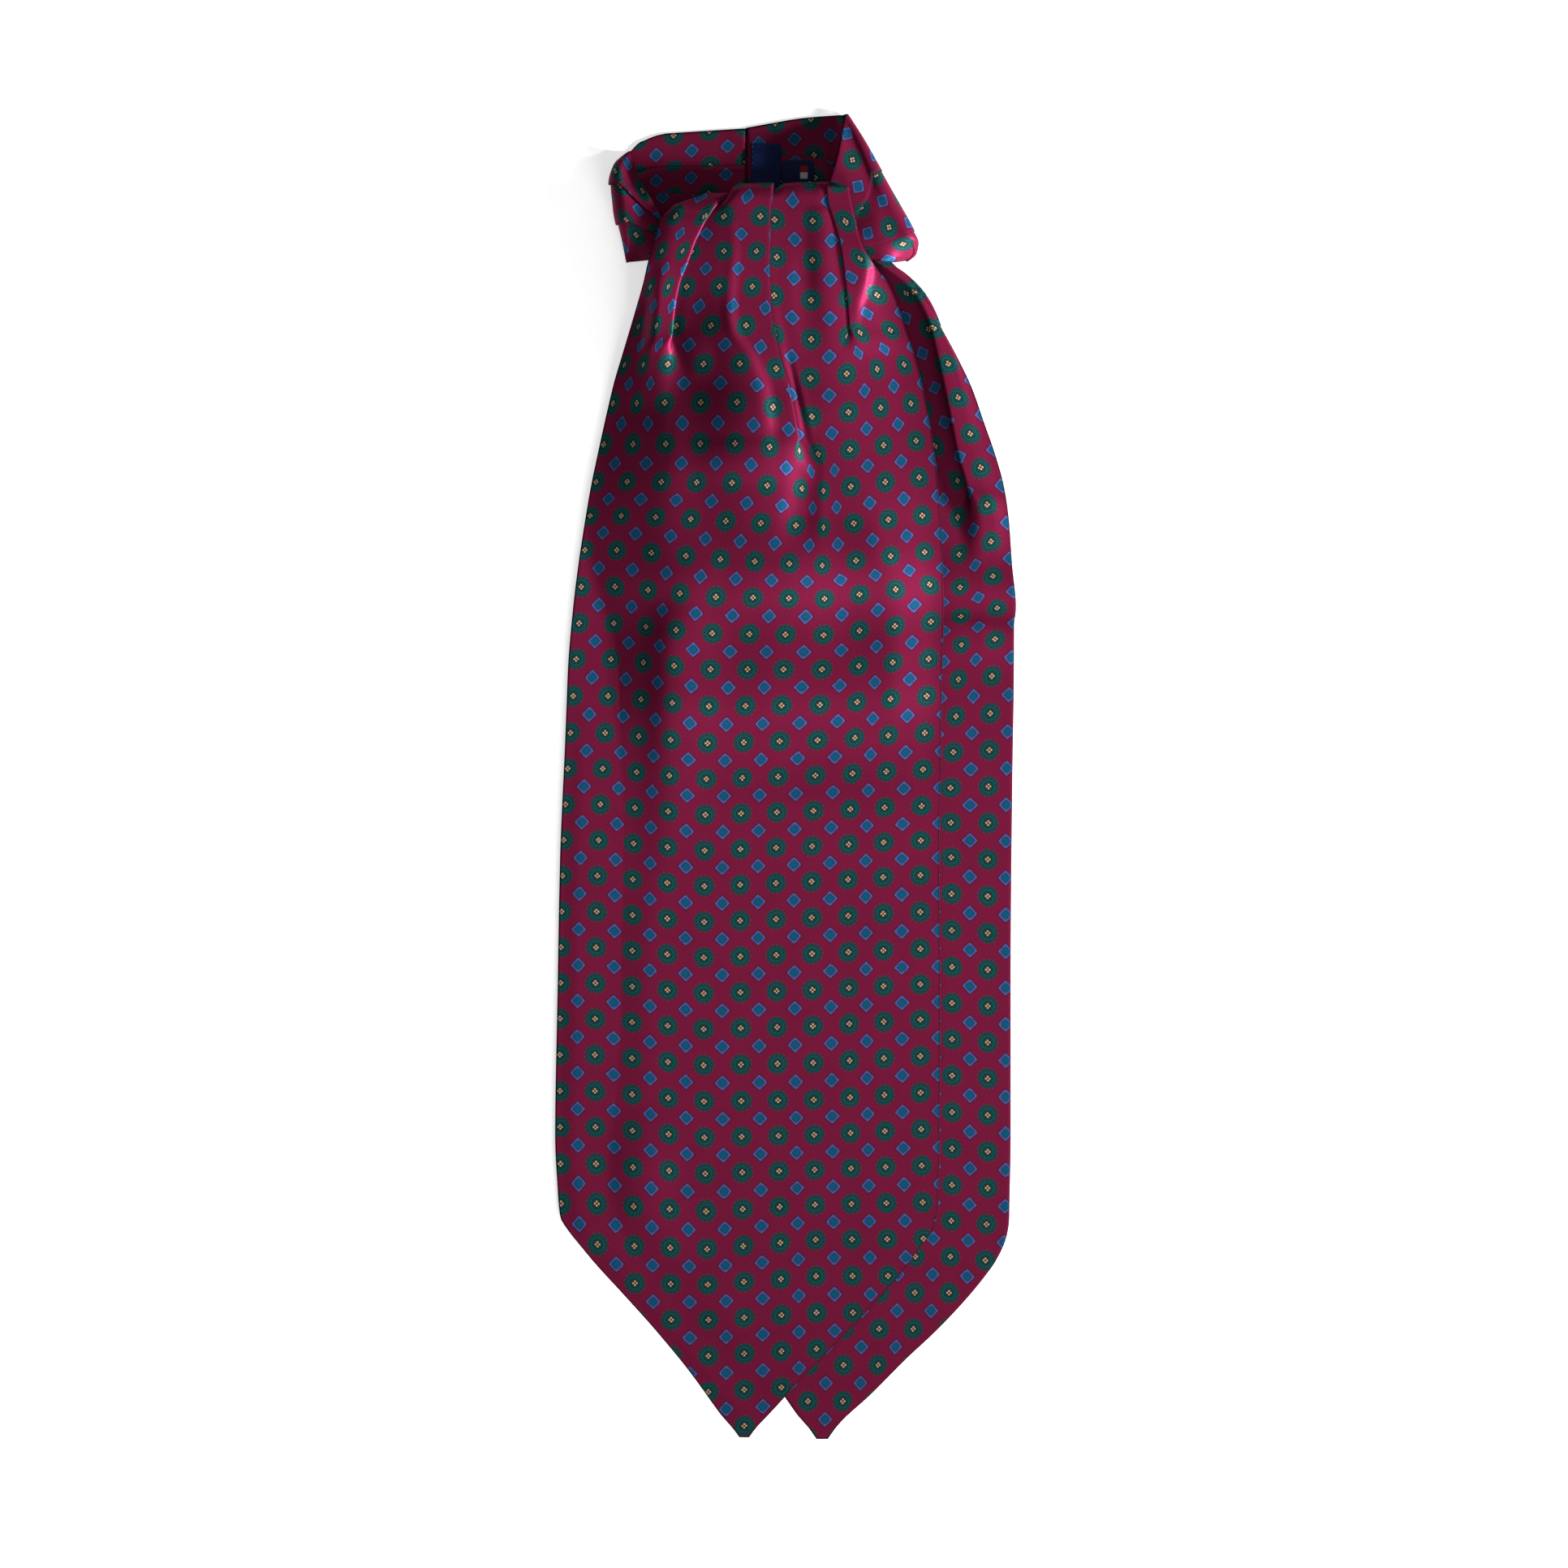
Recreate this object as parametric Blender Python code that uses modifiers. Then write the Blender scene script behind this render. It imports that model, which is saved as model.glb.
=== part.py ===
"""Silk cravat, tied once over and laid flat, with its neck loop at the top.

+X is the wearer's left in the picture plane, +Y runs along the blades towards the neck loop, +Z is up.
The origin is at the middle of the footprint, on the surface that the cravat lies on.
"""

import math

import bmesh
import bpy
import numpy as np

# Driving sizes, in metres.
BLADE_WIDTH = 0.160
CLOTH = 0.0010
GAP = 0.0003
FOLD_RADIUS = 0.00065
BAND_LAYER = 0.0026
TURN_RADIUS = 0.0030
ROLL_RADIUS = 0.0040
MARGIN_ROLL = 0.0007
SOFT_SPREAD = 0.0040
BAND_HIDDEN = 0.0050
REST = 0.5 * CLOTH
LABEL = 0.0006
# The cloth that the two turns of a knife pleat take.
FULL = 2 * math.pi * FOLD_RADIUS

# The tables below are in steps of the blade's width, 473 to the width, with x to the right
# and y down the cravat. MIDDLE is the step that lies at the origin.
STEP = BLADE_WIDTH / 473.0
MIDDLE = (967.75, 956.0)

# Front blade, a row for each section down the fall: its two edges, where pleats A and B (left on top)
# and C (right on top) show their folded edge, how much cloth each one hides, and the height of the
# lowest layer in millimetres.
FRONT_ROWS = (
    # y, left, a, hide_a, b, hide_b, c, hide_c, right, height
    (250, 815, 884, 66, 950, 73, 1021, 52, 1051, 13.05),
    (275, 812, 869, 62, 949, 70, 1028, 46, 1055, 13.05),
    (300, 806, 857, 46, 949, 65, 1035, 44, 1061, 13),
    (325, 799, 848, 36, 948, 61, 1039, 50, 1075, 12.8),
    (350, 793, 838, 33, 949, 58, 1042, 50, 1094, 12.4),
    (380, 784, 832, 33, 950, 54, 1045, 44, 1107, 12),
    (410, 775, 829, 24, 955, 49, 1047, 26, 1117, 11.6),
    (440, 766, 827, 10, 961, 46, 1048, 9, 1127, 11.2),
    (470, 757, 824, 3, 971, 42, 1047, 3, 1135, 10.9),
    (505, 748.5, 818, 0, 979, 33, 1046, 0, 1142, 10.5),
    (550, 738.5, 808, 0, 986, 14, 1046, 0, 1150, 9.9),
    (600, 728, 796, 0, 1000, 4, 1048, 0, 1155, 9.4),
    (650, 719.5, 784, 0, 1008, 0, 1052, 0, 1159, 8.8),
    (700, 712, 773, 0, 1010, 0, 1055, 0, 1161.5, 7.6),
    (750, 706, 768, 0, 1012, 0, 1058, 0, 1163, 5.2),
    (820, 700, 766, 0, 1012, 0, 1058, 0, 1161, 4.7),
    (870, 698, 766, 0, 1011, 0, 1057, 0, 1160, 4.4),
    (920, 696, 765, 0, 1010, 0, 1056, 0, 1159.5, 3.1),
    (1060, 690, 765, 0, 1006, 0, 1052, 0, 1157.5, 2.1),
    (1220, 687, 765, 0, 1004, 0, 1050, 0, 1158.5, 1.85),
    (1400, 684, 765, 0, 1002, 0, 1048, 0, 1158, 1.85),
    (1480, 688, 767, 0, 1000, 0, 1048, 0, 1156.5, 1.85),
)

# The front blade's hump: at the left it rises from its foot to its crest, where it has the height in
# the table above, and at the right it falls off to a low height in millimetres at its edge.
FRONT_FORM = (
    # y, foot, crest, fall, low
    (318, 805, 850, 1040, 12.4), (325, 802, 860, 1040, 10.9), (350, 793, 890, 1040, 6.0),
    (380, 784, 915, 1036, 3.2), (410, 775, 930, 1032, 2.6), (450, 763, 938, 1030, 3.0),
    (505, 748, 940, 1030, 4.4), (560, 736, 935, 1045, 6.0), (600, 728, 928, 1060, 6.4),
    (650, 719, 912, 1075, 6.4), (700, 716, 888, 1090, 5.6), (750, 730, 868, 1090, 3.6),
    (820, 755, 850, 1090, 3.4), (870, 762, 846, 1090, 3.2), (920, 764, 840, 1090, 2.5),
    (1060, 768, 826, 1090, 2.0), (1220, 757, 774, 1090, 1.85), (1480, 760, 777, 1090, 1.85),
)

# Both tips: the left and right hem at each row, from the shoulders to the point.
FRONT_TIP = (
    # y, left, right
    (1500, 690.5, 1154), (1516, 700, 1149), (1536, 716, 1134), (1557, 733.5, 1119),
    (1593, 766.5, 1089), (1629, 799, 1055), (1654, 820.5, 1031), (1684, 845, 1002),
    (1708, 863, 978), (1725, 875, 963.5), (1744, 889, 946), (1760, 903, 931), (1771, 911, 923),
)
REAR_TIP = (
    (1504, 790, 1243.5), (1516, 800, 1242), (1528, 808, 1239), (1552, 826, 1228), (1576, 846, 1211),
    (1600, 866, 1191), (1624, 886, 1169), (1648, 906, 1145), (1672, 926, 1119), (1696, 946, 1095),
    (1720, 966, 1071), (1744, 983, 1044), (1760, 997, 1027), (1773, 1006, 1016),
)

# Rear blade: its hidden left edge, the folded edge of its one pleat (right on top), how much cloth
# that hides, its right edge and the height of the lowest layer.
REAR_ROWS = (
    # y, left, edge, hide, right, height
    (310, 1022, 1058, 14, 1084, 3.1),
    (317, 1010, 1070, 16, 1091, 3.1),
    (331, 960, 1092, 20, 1106, 2.3),
    (345, 905, 1110, 24, 1119, 1.4),
    (370, 870, 1131, 28, 1138, 0.7),
    (400, 846, 1145, 30, 1157, 0.5),
    (440, 826, 1155, 32, 1179, 0.5),
    (480, 811, 1164, 32, 1198, 0.5),
    (520, 800, 1172, 30, 1212, 0.5),
    (560, 793, 1180, 24, 1226, 0.5),
    (600, 788, 1191, 12, 1237, 0.5),
    (640, 785, 1196, 3, 1243, 0.5),
    (700, 782, 1196, 0, 1247.5, 0.5),
    (757, 781, 1194, 0, 1252, 0.5),
    (820, 781, 1192, 0, 1249.5, 0.5),
    (960, 781, 1190, 0, 1247.5, 0.5),
    (1200, 781, 1188, 0, 1245.5, 0.5),
    (1400, 782, 1186, 0, 1245.5, 0.5),
    (1480, 784, 1184, 0, 1244, 0.5),
)

# Neckband, seen from above: for each place across the band, from its rim to its other edge, the
# outer line of its turn at the side, then where it lies half way to the centre back, at the centre
# back, half way to the knot, and where it goes under the front blade.
LEFT_BAND = (
    # across, turn x, y, half way back x, y, centre back x, y, half way front x, y, knot x, y
    (0.00, 770, 190, 796, 166, 919.0, 158, 790, 226, 813, 262),
    (0.16, 757, 202, 790, 182, 919.0, 180, 790, 238, 816, 270),
    (0.33, 749.5, 229, 782, 213, 919.0, 209, 788, 252, 822, 281),
    (0.50, 754, 255, 782, 236, 919.0, 228, 789, 270, 826, 291),
    (0.67, 759, 279, 784, 256, 919.0, 243, 791, 289, 830, 302),
    (0.84, 765, 302, 788, 280, 919.0, 268, 795, 305, 832, 312),
    (1.00, 770, 324.5, 794, 306, 919.0, 288, 800, 322, 833, 320),
)
RIGHT_BAND = (
    (0.00, 1045.5, 141, 988, 145, 921.4, 157.5, 1032, 190, 1024, 227),
    (0.16, 1064, 171, 994, 166, 921.4, 178, 1046, 208, 1030, 238),
    (0.33, 1086, 211, 998, 194, 921.4, 197, 1066, 232, 1042, 252),
    (0.50, 1107, 250, 1006, 223, 921.4, 218, 1080, 260, 1046, 272),
    (0.67, 1128, 287, 1014, 254, 921.4, 236, 1090, 290, 1048, 290),
    (0.84, 1134, 303, 1020, 276, 921.4, 260, 1094, 307, 1050, 303),
    (1.00, 1125, 322, 1026, 298, 921.4, 282, 1088, 323, 1054, 313),
)
BAND_PLEATS = (0.33, 0.67)


def across(x):
    return (x - MIDDLE[0]) * STEP


def along(y):
    return (MIDDLE[1] - y) * STEP


def smooth(t):
    t = min(max(t, 0.0), 1.0)
    return t * t * (3 - 2 * t)


def table(rows, y):
    """A row of the table at y, with every column read on a monotone curve between the rows."""
    data = np.array(rows, float)
    at = data[:, 0]
    y = min(max(y, at[0]), at[-1])
    i = int(min(max(np.searchsorted(at, y) - 1, 0), len(at) - 2))
    gap = at[i + 1] - at[i]
    t = (y - at[i]) / gap
    slope = np.zeros_like(data)
    step = np.diff(data, axis=0) / np.diff(at)[:, None]
    slope[0], slope[-1] = step[0], step[-1]
    for k in range(1, len(at) - 1):
        same = step[k - 1] * step[k] > 0
        total = np.where(same, step[k - 1] + step[k], 1.0)
        slope[k] = np.where(same, 2 * step[k - 1] * step[k] / total, 0.0)
    h00, h10 = 2 * t**3 - 3 * t**2 + 1, t**3 - 2 * t**2 + t
    h01, h11 = -2 * t**3 + 3 * t**2, t**3 - t**2
    return h00 * data[i] + h10 * gap * slope[i] + h01 * data[i + 1] + h11 * gap * slope[i + 1]


def pleat(t, hidden):
    """How a pleat goes across and down at t along it, with hidden metres of cloth out of sight.

    A deep pleat is a knife fold of three layers. A shallow one is a soft slope that fades away and
    spreads as it does.
    """
    if hidden >= FULL:
        flat = 0.5 * (hidden - FULL)
        turn = math.pi * FOLD_RADIUS
        # Six of the eight stations are on the two turns.
        stops = (0.0, turn, turn + flat, 2 * turn + flat, 2 * (turn + flat))
        marks = (0.0, 0.4, 0.5, 0.9, 1.0)
        d = float(np.interp(t, marks, stops))
        r = FOLD_RADIUS
        if d <= turn:
            return r * math.sin(d / r), -r * (1 - math.cos(d / r))
        if d <= turn + flat:
            return -(d - turn), -2 * r
        if d <= 2 * turn + flat:
            a = (d - turn - flat) / r
            return -flat - r * math.sin(a), -2 * r - r * (1 - math.cos(a))
        return -flat + (d - 2 * turn - flat), -4 * r
    part = max(hidden, 1e-6) / FULL
    r = FOLD_RADIUS * (1 + 4.5 * (1 - part) ** 1.5)
    low, high = 0.0, math.pi
    for _ in range(40):
        angle = 0.5 * (low + high)
        if 2 * r * (angle - math.sin(angle)) < hidden:
            low = angle
        else:
            high = angle
    a = 2 * angle * t
    spread = 2 * SOFT_SPREAD * (1 - part) * t
    if a <= angle:
        return spread + r * math.sin(a), -r * (1 - math.cos(a))
    b = 2 * angle - a
    return (spread + r * (2 * math.sin(angle) - math.sin(b)),
            -r * (2 - 2 * math.cos(angle) - (1 - math.cos(b))))


# Stations across a blade: a run for each panel and a run for each pleat between two panels.
PLEAT_STATIONS = (0.0, 0.13, 0.27, 0.40, 0.50, 0.63, 0.77, 0.90)
PANEL_STATIONS = (0.0, 0.33, 0.67)
FRONT_COUNT = 4 * len(PANEL_STATIONS) + 3 * len(PLEAT_STATIONS) + 1
MARGIN = FRONT_COUNT - len(PANEL_STATIONS) - 1
ROLL_ANGLE = math.radians(112)


def rear_edge(y):
    """The rear blade's left edge, which the front blade hides."""
    rows = REAR_ROWS if y <= 1480 else ((1480, 784, 1244),) + REAR_TIP
    return float(table(tuple(row[:2] for row in rows), y)[1])


def buried(hidden):
    """How far a pleat's hidden layers reach from its folded edge, in steps."""
    return max(0.5 * (hidden - FULL), 0.0) / STEP + 7.0 * min(1.0, hidden / FULL)


def level(z):
    """A height in steps of 0.04 mm, so that nearly flat cloth is flat and leaves no sliver faces."""
    return round(z / 0.00004) * 0.00004


def front_section(y):
    """Points across the front blade at row y: (x, height over the lowest layer, x its bed is read at)."""
    row = table(FRONT_ROWS, min(y, 1480))
    _, left, a, hide_a, b, hide_b, c, hide_c, right, height = row
    if y > 1480:
        _, left, right = table(((1480, 688, 1156.5),) + FRONT_TIP, y)
        a = min(max(rear_edge(y) - 17, left + 0.16 * (right - left)), left + 0.6 * (right - left))
        b, c = a + (right - a) * 0.36, a + (right - a) * 0.70
    narrow = min(1.0, (right - left) / 300.0) if y > 1480 else 1.0
    ends = []
    for edge, hidden, way in ((a, hide_a, 1), (b, hide_b, 1), (c, hide_c, -1)):
        hidden *= STEP
        wide, drop = pleat(1.0, hidden)
        wide, drop = wide / STEP * narrow, -drop
        back = FOLD_RADIUS / STEP * min(1.0, hidden / FULL) + 0.5 * max(wide, 0.0)
        if way > 0:
            ends.append((edge - back, edge - back + wide, drop, 0.0, hidden, way))
        else:
            ends.append((edge + back - wide, edge + back, 0.0, drop, hidden, way))
    starts = [(left, 0.35 * ends[0][2])] + [(e[1], e[3]) for e in ends]
    stops = [(e[0], e[2]) for e in ends] + [(right, 0.55 * ends[2][3])]
    points = []
    for i in range(4):
        (x0, z0), (x1, z1) = starts[i], stops[i]
        # A panel is level over the hidden layers of its own pleat, and slopes on the rest of its width.
        over = buried(ends[min(i, 2)][4])
        if i < 3:
            share = 0.67 if i < 2 else 0.92
            last = x0 + max(min(share * (x1 - x0), x1 - x0 - (over if i < 2 else 0.0)), 0.12 * (x1 - x0))
            xs = (x0, 0.5 * (x0 + last), last)
            zs = (z0, 0.5 * (z0 + z1), z1) if i < 2 else (z0, z0, z1)
        else:
            first = x0 + min(max(0.33 * (x1 - x0), over), 0.88 * (x1 - x0))
            xs = (x0, first, 0.5 * (first + x1))
            zs = (z0, z0, 0.5 * (z0 + z1))
        # What lies on a pleat's layers takes its height from the folded edge, so they stay parallel.
        stack = ((None, None, 0), (0, None, 1), (1, None, None), (2, 2, None))[i]
        for x, z, number in zip(xs, zs, stack):
            firm = 0.0 if number is None else min(1.0, ends[number][4] / FULL)
            points.append((x, z, x + ((a, b, c)[number or 0] - x) * firm))
        if i < 3:
            hidden, way = ends[i][4:]
            for t in PLEAT_STATIONS:
                dx, dz = pleat(t if way > 0 else 1 - t, hidden)
                x, z = (x1, z1) if way > 0 else starts[i + 1]
                x += way * dx / STEP * narrow
                points.append((x, z + dz, x + ((a, b, c)[i] - x) * min(1.0, hidden / FULL)))
    points.append((right, stops[3][1], right))
    return points, left, right, height * 0.001


def ramp(t):
    """0 to 1 on a straight slope with soft ends."""
    t, end = min(max(t, 0.0), 1.0), 0.3
    soft = 1 / (2 * end * (1 - end))
    if t < end:
        return soft * t * t
    return 1 - soft * (1 - t) ** 2 if t > 1 - end else (t - end / 2) / (1 - end)


def front_bed(x, y, left, right, height):
    """Height of the front blade's lowest layer: its hump, and at least the rear blade's top."""
    _, foot, crest, fall, low = table(FRONT_FORM, min(max(y, 318), 1480))
    shift = rear_edge(y) - 784 if y > 1480 else 0.0
    rise = 1 - smooth((y - 318) / 90) * (1 - ramp((x - foot - shift) / (crest - foot)))
    bed = REST + (height - REST) * rise
    bed -= max(height - 0.001 * low, 0.0) * ramp((x - fall) / (right - fall))
    on_rear = 0.00135 * smooth((x - rear_edge(y) + 24) / 17) * smooth((y - 400) / 100)
    return max(bed, REST + on_rear)


def roll_line(x):
    """The step y of the front blade's top edge, where it comes over the neckband."""
    xs = (815, 830, 850, 885, 896, 920, 954, 980, 1016)
    ys = (262, 252, 245, 243, 239, 230, 226, 224, 225)
    return float(np.interp(x, xs, ys))


def front_point(station, v):
    """A point of the front blade. v is the row down the fall, and past row 275 the cloth rolls over."""
    row = v if v >= 275 else max(275 - 0.8 * (275 - v), 250)
    points, left, right, height = front_section(row)
    x, rise, hold = points[station]
    bed = front_bed(hold, row, left, right, height)
    if v >= 275:
        return across(x), along(v), level(bed + rise)
    fold_c = station - (MARGIN - len(PLEAT_STATIONS))
    turn, radius, bulge = ROLL_ANGLE, ROLL_RADIUS, 0.0
    if fold_c >= 0:
        turn, radius = math.radians(50), MARGIN_ROLL
        top = 240 if fold_c == 0 else 247 + 8 * smooth((hold - 1032) / 20)
        reach = radius + BAND_LAYER + 0.5 * CLOTH
    else:
        top = roll_line(hold)
        if station < 3:
            radius = (MARGIN_ROLL, 0.0020, ROLL_RADIUS)[station]
        if station == MARGIN - len(PLEAT_STATIONS) - 1:
            radius = 0.0025
        reach = radius + BAND_LAYER + 0.5 * CLOTH
        run_in = len(PANEL_STATIONS) + len(PLEAT_STATIONS)
        if station % run_in in (1, 2):
            bulge = (BAND_LAYER - rise) * (0.7 if station % run_in == 1 else 1.0)
    start = along(275)
    axis = max(along(top) - reach, start)
    run = axis - start
    d = (275 - v) / 75 * (run + radius * turn)
    if d < run:
        return across(x), start + d, bed + rise
    angle = (d - run) / radius
    return (across(x), axis + (radius + rise + bulge) * math.sin(angle),
            bed - radius + (radius + rise) * math.cos(angle))


FRONT_V = (200, 209, 218, 227, 236, 245, 255, 265, 275, 288, 300, 313, 325, 338, 350, 365, 380, 400, 420,
           440, 470, 505, 550, 600, 650, 700, 750, 820, 870, 920, 1060, 1220, 1400, 1480, 1500, 1516, 1536,
           1557, 1593, 1629, 1654, 1684, 1708, 1725, 1744, 1760, 1771)


def material(name, colour, rough):
    mat = bpy.data.materials.new(name)
    mat.use_nodes = True
    node = mat.node_tree.nodes["Principled BSDF"]
    node.inputs["Base Color"].default_value = (*colour, 1)
    node.inputs["Roughness"].default_value = rough
    node.inputs["Metallic"].default_value = 0.0
    return mat


def sheet(name, columns, rows, place, thickness, mat, collection, offset=0.0):
    """A grid moved by a function and given a wall: place(i, j) is the point at column i and row j."""
    mesh = bpy.data.meshes.new(name)
    bm = bmesh.new()
    bmesh.ops.create_grid(bm, x_segments=columns - 1, y_segments=rows - 1, size=1.0)
    for vert in bm.verts:
        i = round((vert.co.x + 1) / 2 * (columns - 1))
        j = round((vert.co.y + 1) / 2 * (rows - 1))
        vert.co = place(i, j)
    bm.normal_update()
    if sum(face.normal.z for face in bm.faces) < 0:
        bmesh.ops.reverse_faces(bm, faces=bm.faces)
    bm.to_mesh(mesh)
    bm.free()
    mesh.materials.append(mat)
    mesh.shade_smooth()
    obj = bpy.data.objects.new(name, mesh)
    collection.objects.link(obj)
    wall = obj.modifiers.new("Wall", "SOLIDIFY")
    wall.thickness = thickness
    wall.offset = offset
    return obj


REAR_V = (310, 317, 324, 331, 338, 345, 358, 370, 385, 400, 420, 440, 460, 480, 500, 520, 540, 560, 580, 600,
          640, 700, 757, 820, 960, 1200, 1400, 1480, 1504, 1528, 1576, 1624, 1672, 1720, 1760, 1773)
REAR_PANEL = (0.0, 0.3, 0.6)
REAR_MARGIN = (0.0, 0.33, 0.67, 1.0)
REAR_COUNT = len(REAR_PANEL) + len(PLEAT_STATIONS) + len(REAR_MARGIN)


def rear_point(station, y):
    _, left, edge, hidden, right, height = table(REAR_ROWS, min(y, 1480))
    if y > 1480:
        share = (edge - left) / (right - left)
        _, left, right = table(((1480, 784, 1244),) + REAR_TIP, y)
        edge = left + (right - left) * share
    narrow = min(1.0, (right - left) / 300.0) if y > 1480 else 1.0
    hidden *= STEP
    wide, drop = pleat(1.0, hidden)
    wide, drop = wide / STEP * narrow, -drop
    outer = edge + FOLD_RADIUS / STEP * min(1.0, hidden / FULL) + 0.5 * max(wide, 0.0)
    inner = outer - wide
    n = len(REAR_PANEL)
    if station < n:
        x, rise = left + (inner - left) * REAR_PANEL[station], 0.0
    elif station < n + len(PLEAT_STATIONS):
        # The pleat's layers lie square to its folded edge, which slants at the knot.
        dx, dz = pleat(1 - PLEAT_STATIONS[station - n], hidden)
        lean = float(table(REAR_ROWS, min(y + 4, 1480))[2] - table(REAR_ROWS, min(y - 4, 1472))[2]) / 8
        lean *= smooth((430 - y) / 60)
        square = math.hypot(1.0, lean)
        x, rise = outer - dx / STEP * narrow / square, drop + dz
        y += dx / STEP * narrow * lean / square
    else:
        t = REAR_MARGIN[station - n - len(PLEAT_STATIONS)]
        right = max(right, outer + 5)
        first = min(max(buried(hidden), 0.35 * (right - outer)), 0.8 * (right - outer))
        x = outer + (0.0, first, 0.5 * (first + right - outer), right - outer)[round(3 * t)]
        rise = drop * (1 - smooth((x - outer - buried(hidden)) / 40)) if hidden > 0 else 0.0
    return across(x), along(y), level(0.001 * height + rise)


def band_stations():
    """Stations across the neckband: (place across, distance out from its innermost layer, sideways slip)."""
    out = []
    last = 0.0
    for number, at in enumerate(BAND_PLEATS):
        start = BAND_LAYER if number == 0 else 0.0
        for t in (0.0, 0.33, 0.67):
            out.append((last + (at - last) * t, start + (BAND_LAYER - start) * smooth(t), 0.0))
        for t in PLEAT_STATIONS:
            dx, dz = pleat(t, BAND_HIDDEN)
            out.append((at, BAND_LAYER + dz, dx - FOLD_RADIUS))
        last = at
    for t in (0.0, 0.33, 0.67, 1.0):
        out.append((last + (1.0 - last) * t, 0.5 * BAND_LAYER * smooth(t), -FOLD_RADIUS if t == 0 else 0.0))
    return out


def band_line(rows, side, w, front):
    """The run of the band at w across it: its far end, a middle point, the turn's axis, and two directions."""
    row = table(rows, w)
    turn = np.array((across(row[1]), along(row[2])))
    before, after = table(rows, max(w - 0.03, 0.0)), table(rows, min(w + 0.03, 1.0))
    lie = np.array((after[1] - before[1], before[2] - after[2]))
    lie /= np.linalg.norm(lie)
    outward = np.array((-lie[1], lie[0])) * (1 if -lie[1] * side > 0 else -1)
    if w < 0.12:
        # The rim turns over where the band runs to, not square to its turn.
        ahead = np.array((0.995, 0.1) if side > 0 else (-0.9, -0.44))
        outward = outward * (w / 0.12) + ahead * (1 - w / 0.12)
        outward /= np.linalg.norm(outward)
    axis = turn - outward * (TURN_RADIUS + BAND_LAYER + 0.5 * CLOTH)
    at = 7 if front else 3
    half = np.array((across(row[at]), along(row[at + 1])))
    end = np.array((across(row[at + 2]), along(row[at + 3])))
    return end, half, axis, outward, lie


def band_point(rows, side, station, q, front):
    """A point of a neckband stretch: q is 0 at its far end, 1 where its turn starts and 2 half way round."""
    w, out, slip = station
    end, half, axis, outward, lie = band_line(rows, side, w, front)
    # The run is two straight lengths that meet at the middle point, with that corner rounded off.
    first, second = np.linalg.norm(half - end), np.linalg.norm(axis - half)
    t, mid = min(q, 1.0), first / (first + second)
    soft = min(0.12, t, 1 - t)
    base = sum((end + (half - end) * u / mid if u < mid else half + (axis - half) * (u - mid) / (1 - mid))
               for u in (t - soft, t, t + soft)) / 3
    middle = REST + BAND_LAYER + TURN_RADIUS
    angle = max(q - 1, 0.0) * (0.5 * math.pi - 0.5 * (GAP + 0.0001) / (TURN_RADIUS + out))
    plan = base + outward * (TURN_RADIUS + out) * math.sin(angle) + lie * slip
    lift = (TURN_RADIUS + out) * math.cos(angle)
    if front:
        return plan[0], plan[1], middle + lift - 0.0006 * smooth(1 - t)
    return plan[0], plan[1], middle - lift


BAND_Q = (0.0, 0.25, 0.5, 0.7, 0.85, 1.0, 1.25, 1.5, 1.75, 2.0)


def label_point(x, y):
    """A point of a label's middle surface, made from the panel below it and moved out."""
    w_list = np.linspace(0.0, 1.0, 41)
    ys = []
    for w in w_list:
        end, half, axis, _, _ = band_line(RIGHT_BAND, 1, w, False)
        t = (across(x) - end[0]) / (half[0] - end[0])
        ys.append(end[1] + (half[1] - end[1]) * t)
    w = float(np.interp(-along(y), -np.array(ys), w_list))
    first, second = BAND_PLEATS
    step = BAND_LAYER * smooth((w - 0.21) / 0.07)
    fall = BAND_LAYER * smooth((w - first) / (second - first))
    top = REST + step - fall + 0.5 * CLOTH
    return across(x), along(y), top + GAP + 0.0002 + 0.5 * LABEL


# Labels: left, right, upper and lower edge in steps. The lower edges run under the front blade.
LABELS = {"label_main": (926, 962, 178.5, 230), "label_care": (964.5, 1002, 198, 229)}

# The hidden layers of the knot: one rounded solid between the back of the neckband and the front blade.
CORE_X = (850, 1008)
CORE_Y = (258, 333)
CORE_Z = (0.00395, 0.01215)


def build_core(mat, collection):
    mesh = bpy.data.meshes.new("knot_core")
    bm = bmesh.new()
    bmesh.ops.create_uvsphere(bm, u_segments=28, v_segments=14, radius=1.0)
    for vert in bm.verts:
        co = vert.co.copy()
        round_at = math.atan2(co.y, co.x)
        ca, sa = math.cos(round_at), math.sin(round_at)
        box = (abs(ca) ** 3.2 + abs(sa) ** 3.2) ** (-1 / 3.2)
        lat = math.asin(max(-1.0, min(1.0, co.z)))
        cl, sl = math.cos(lat), math.sin(lat)
        wide = cl**0.62
        up = math.copysign(abs(sl) ** 0.62, sl)
        half_x, half_y = 0.5 * (CORE_X[1] - CORE_X[0]) * STEP, 0.5 * (CORE_Y[1] - CORE_Y[0]) * STEP
        vert.co.x = across(0.5 * (CORE_X[0] + CORE_X[1])) + half_x * ca * box * wide
        vert.co.y = along(0.5 * (CORE_Y[0] + CORE_Y[1])) + half_y * sa * box * wide
        # The upper face sinks towards the fall, as the front blade over it does.
        down = smooth((along(288) - vert.co.y) / (along(288) - along(CORE_Y[1])))
        high = CORE_Z[1] - 0.0032 * down
        vert.co.z = 0.5 * (CORE_Z[0] + high) + 0.5 * (high - CORE_Z[0]) * up
    bm.to_mesh(mesh)
    bm.free()
    mesh.materials.append(mat)
    mesh.shade_smooth()
    obj = bpy.data.objects.new("knot_core", mesh)
    collection.objects.link(obj)
    return obj


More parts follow.
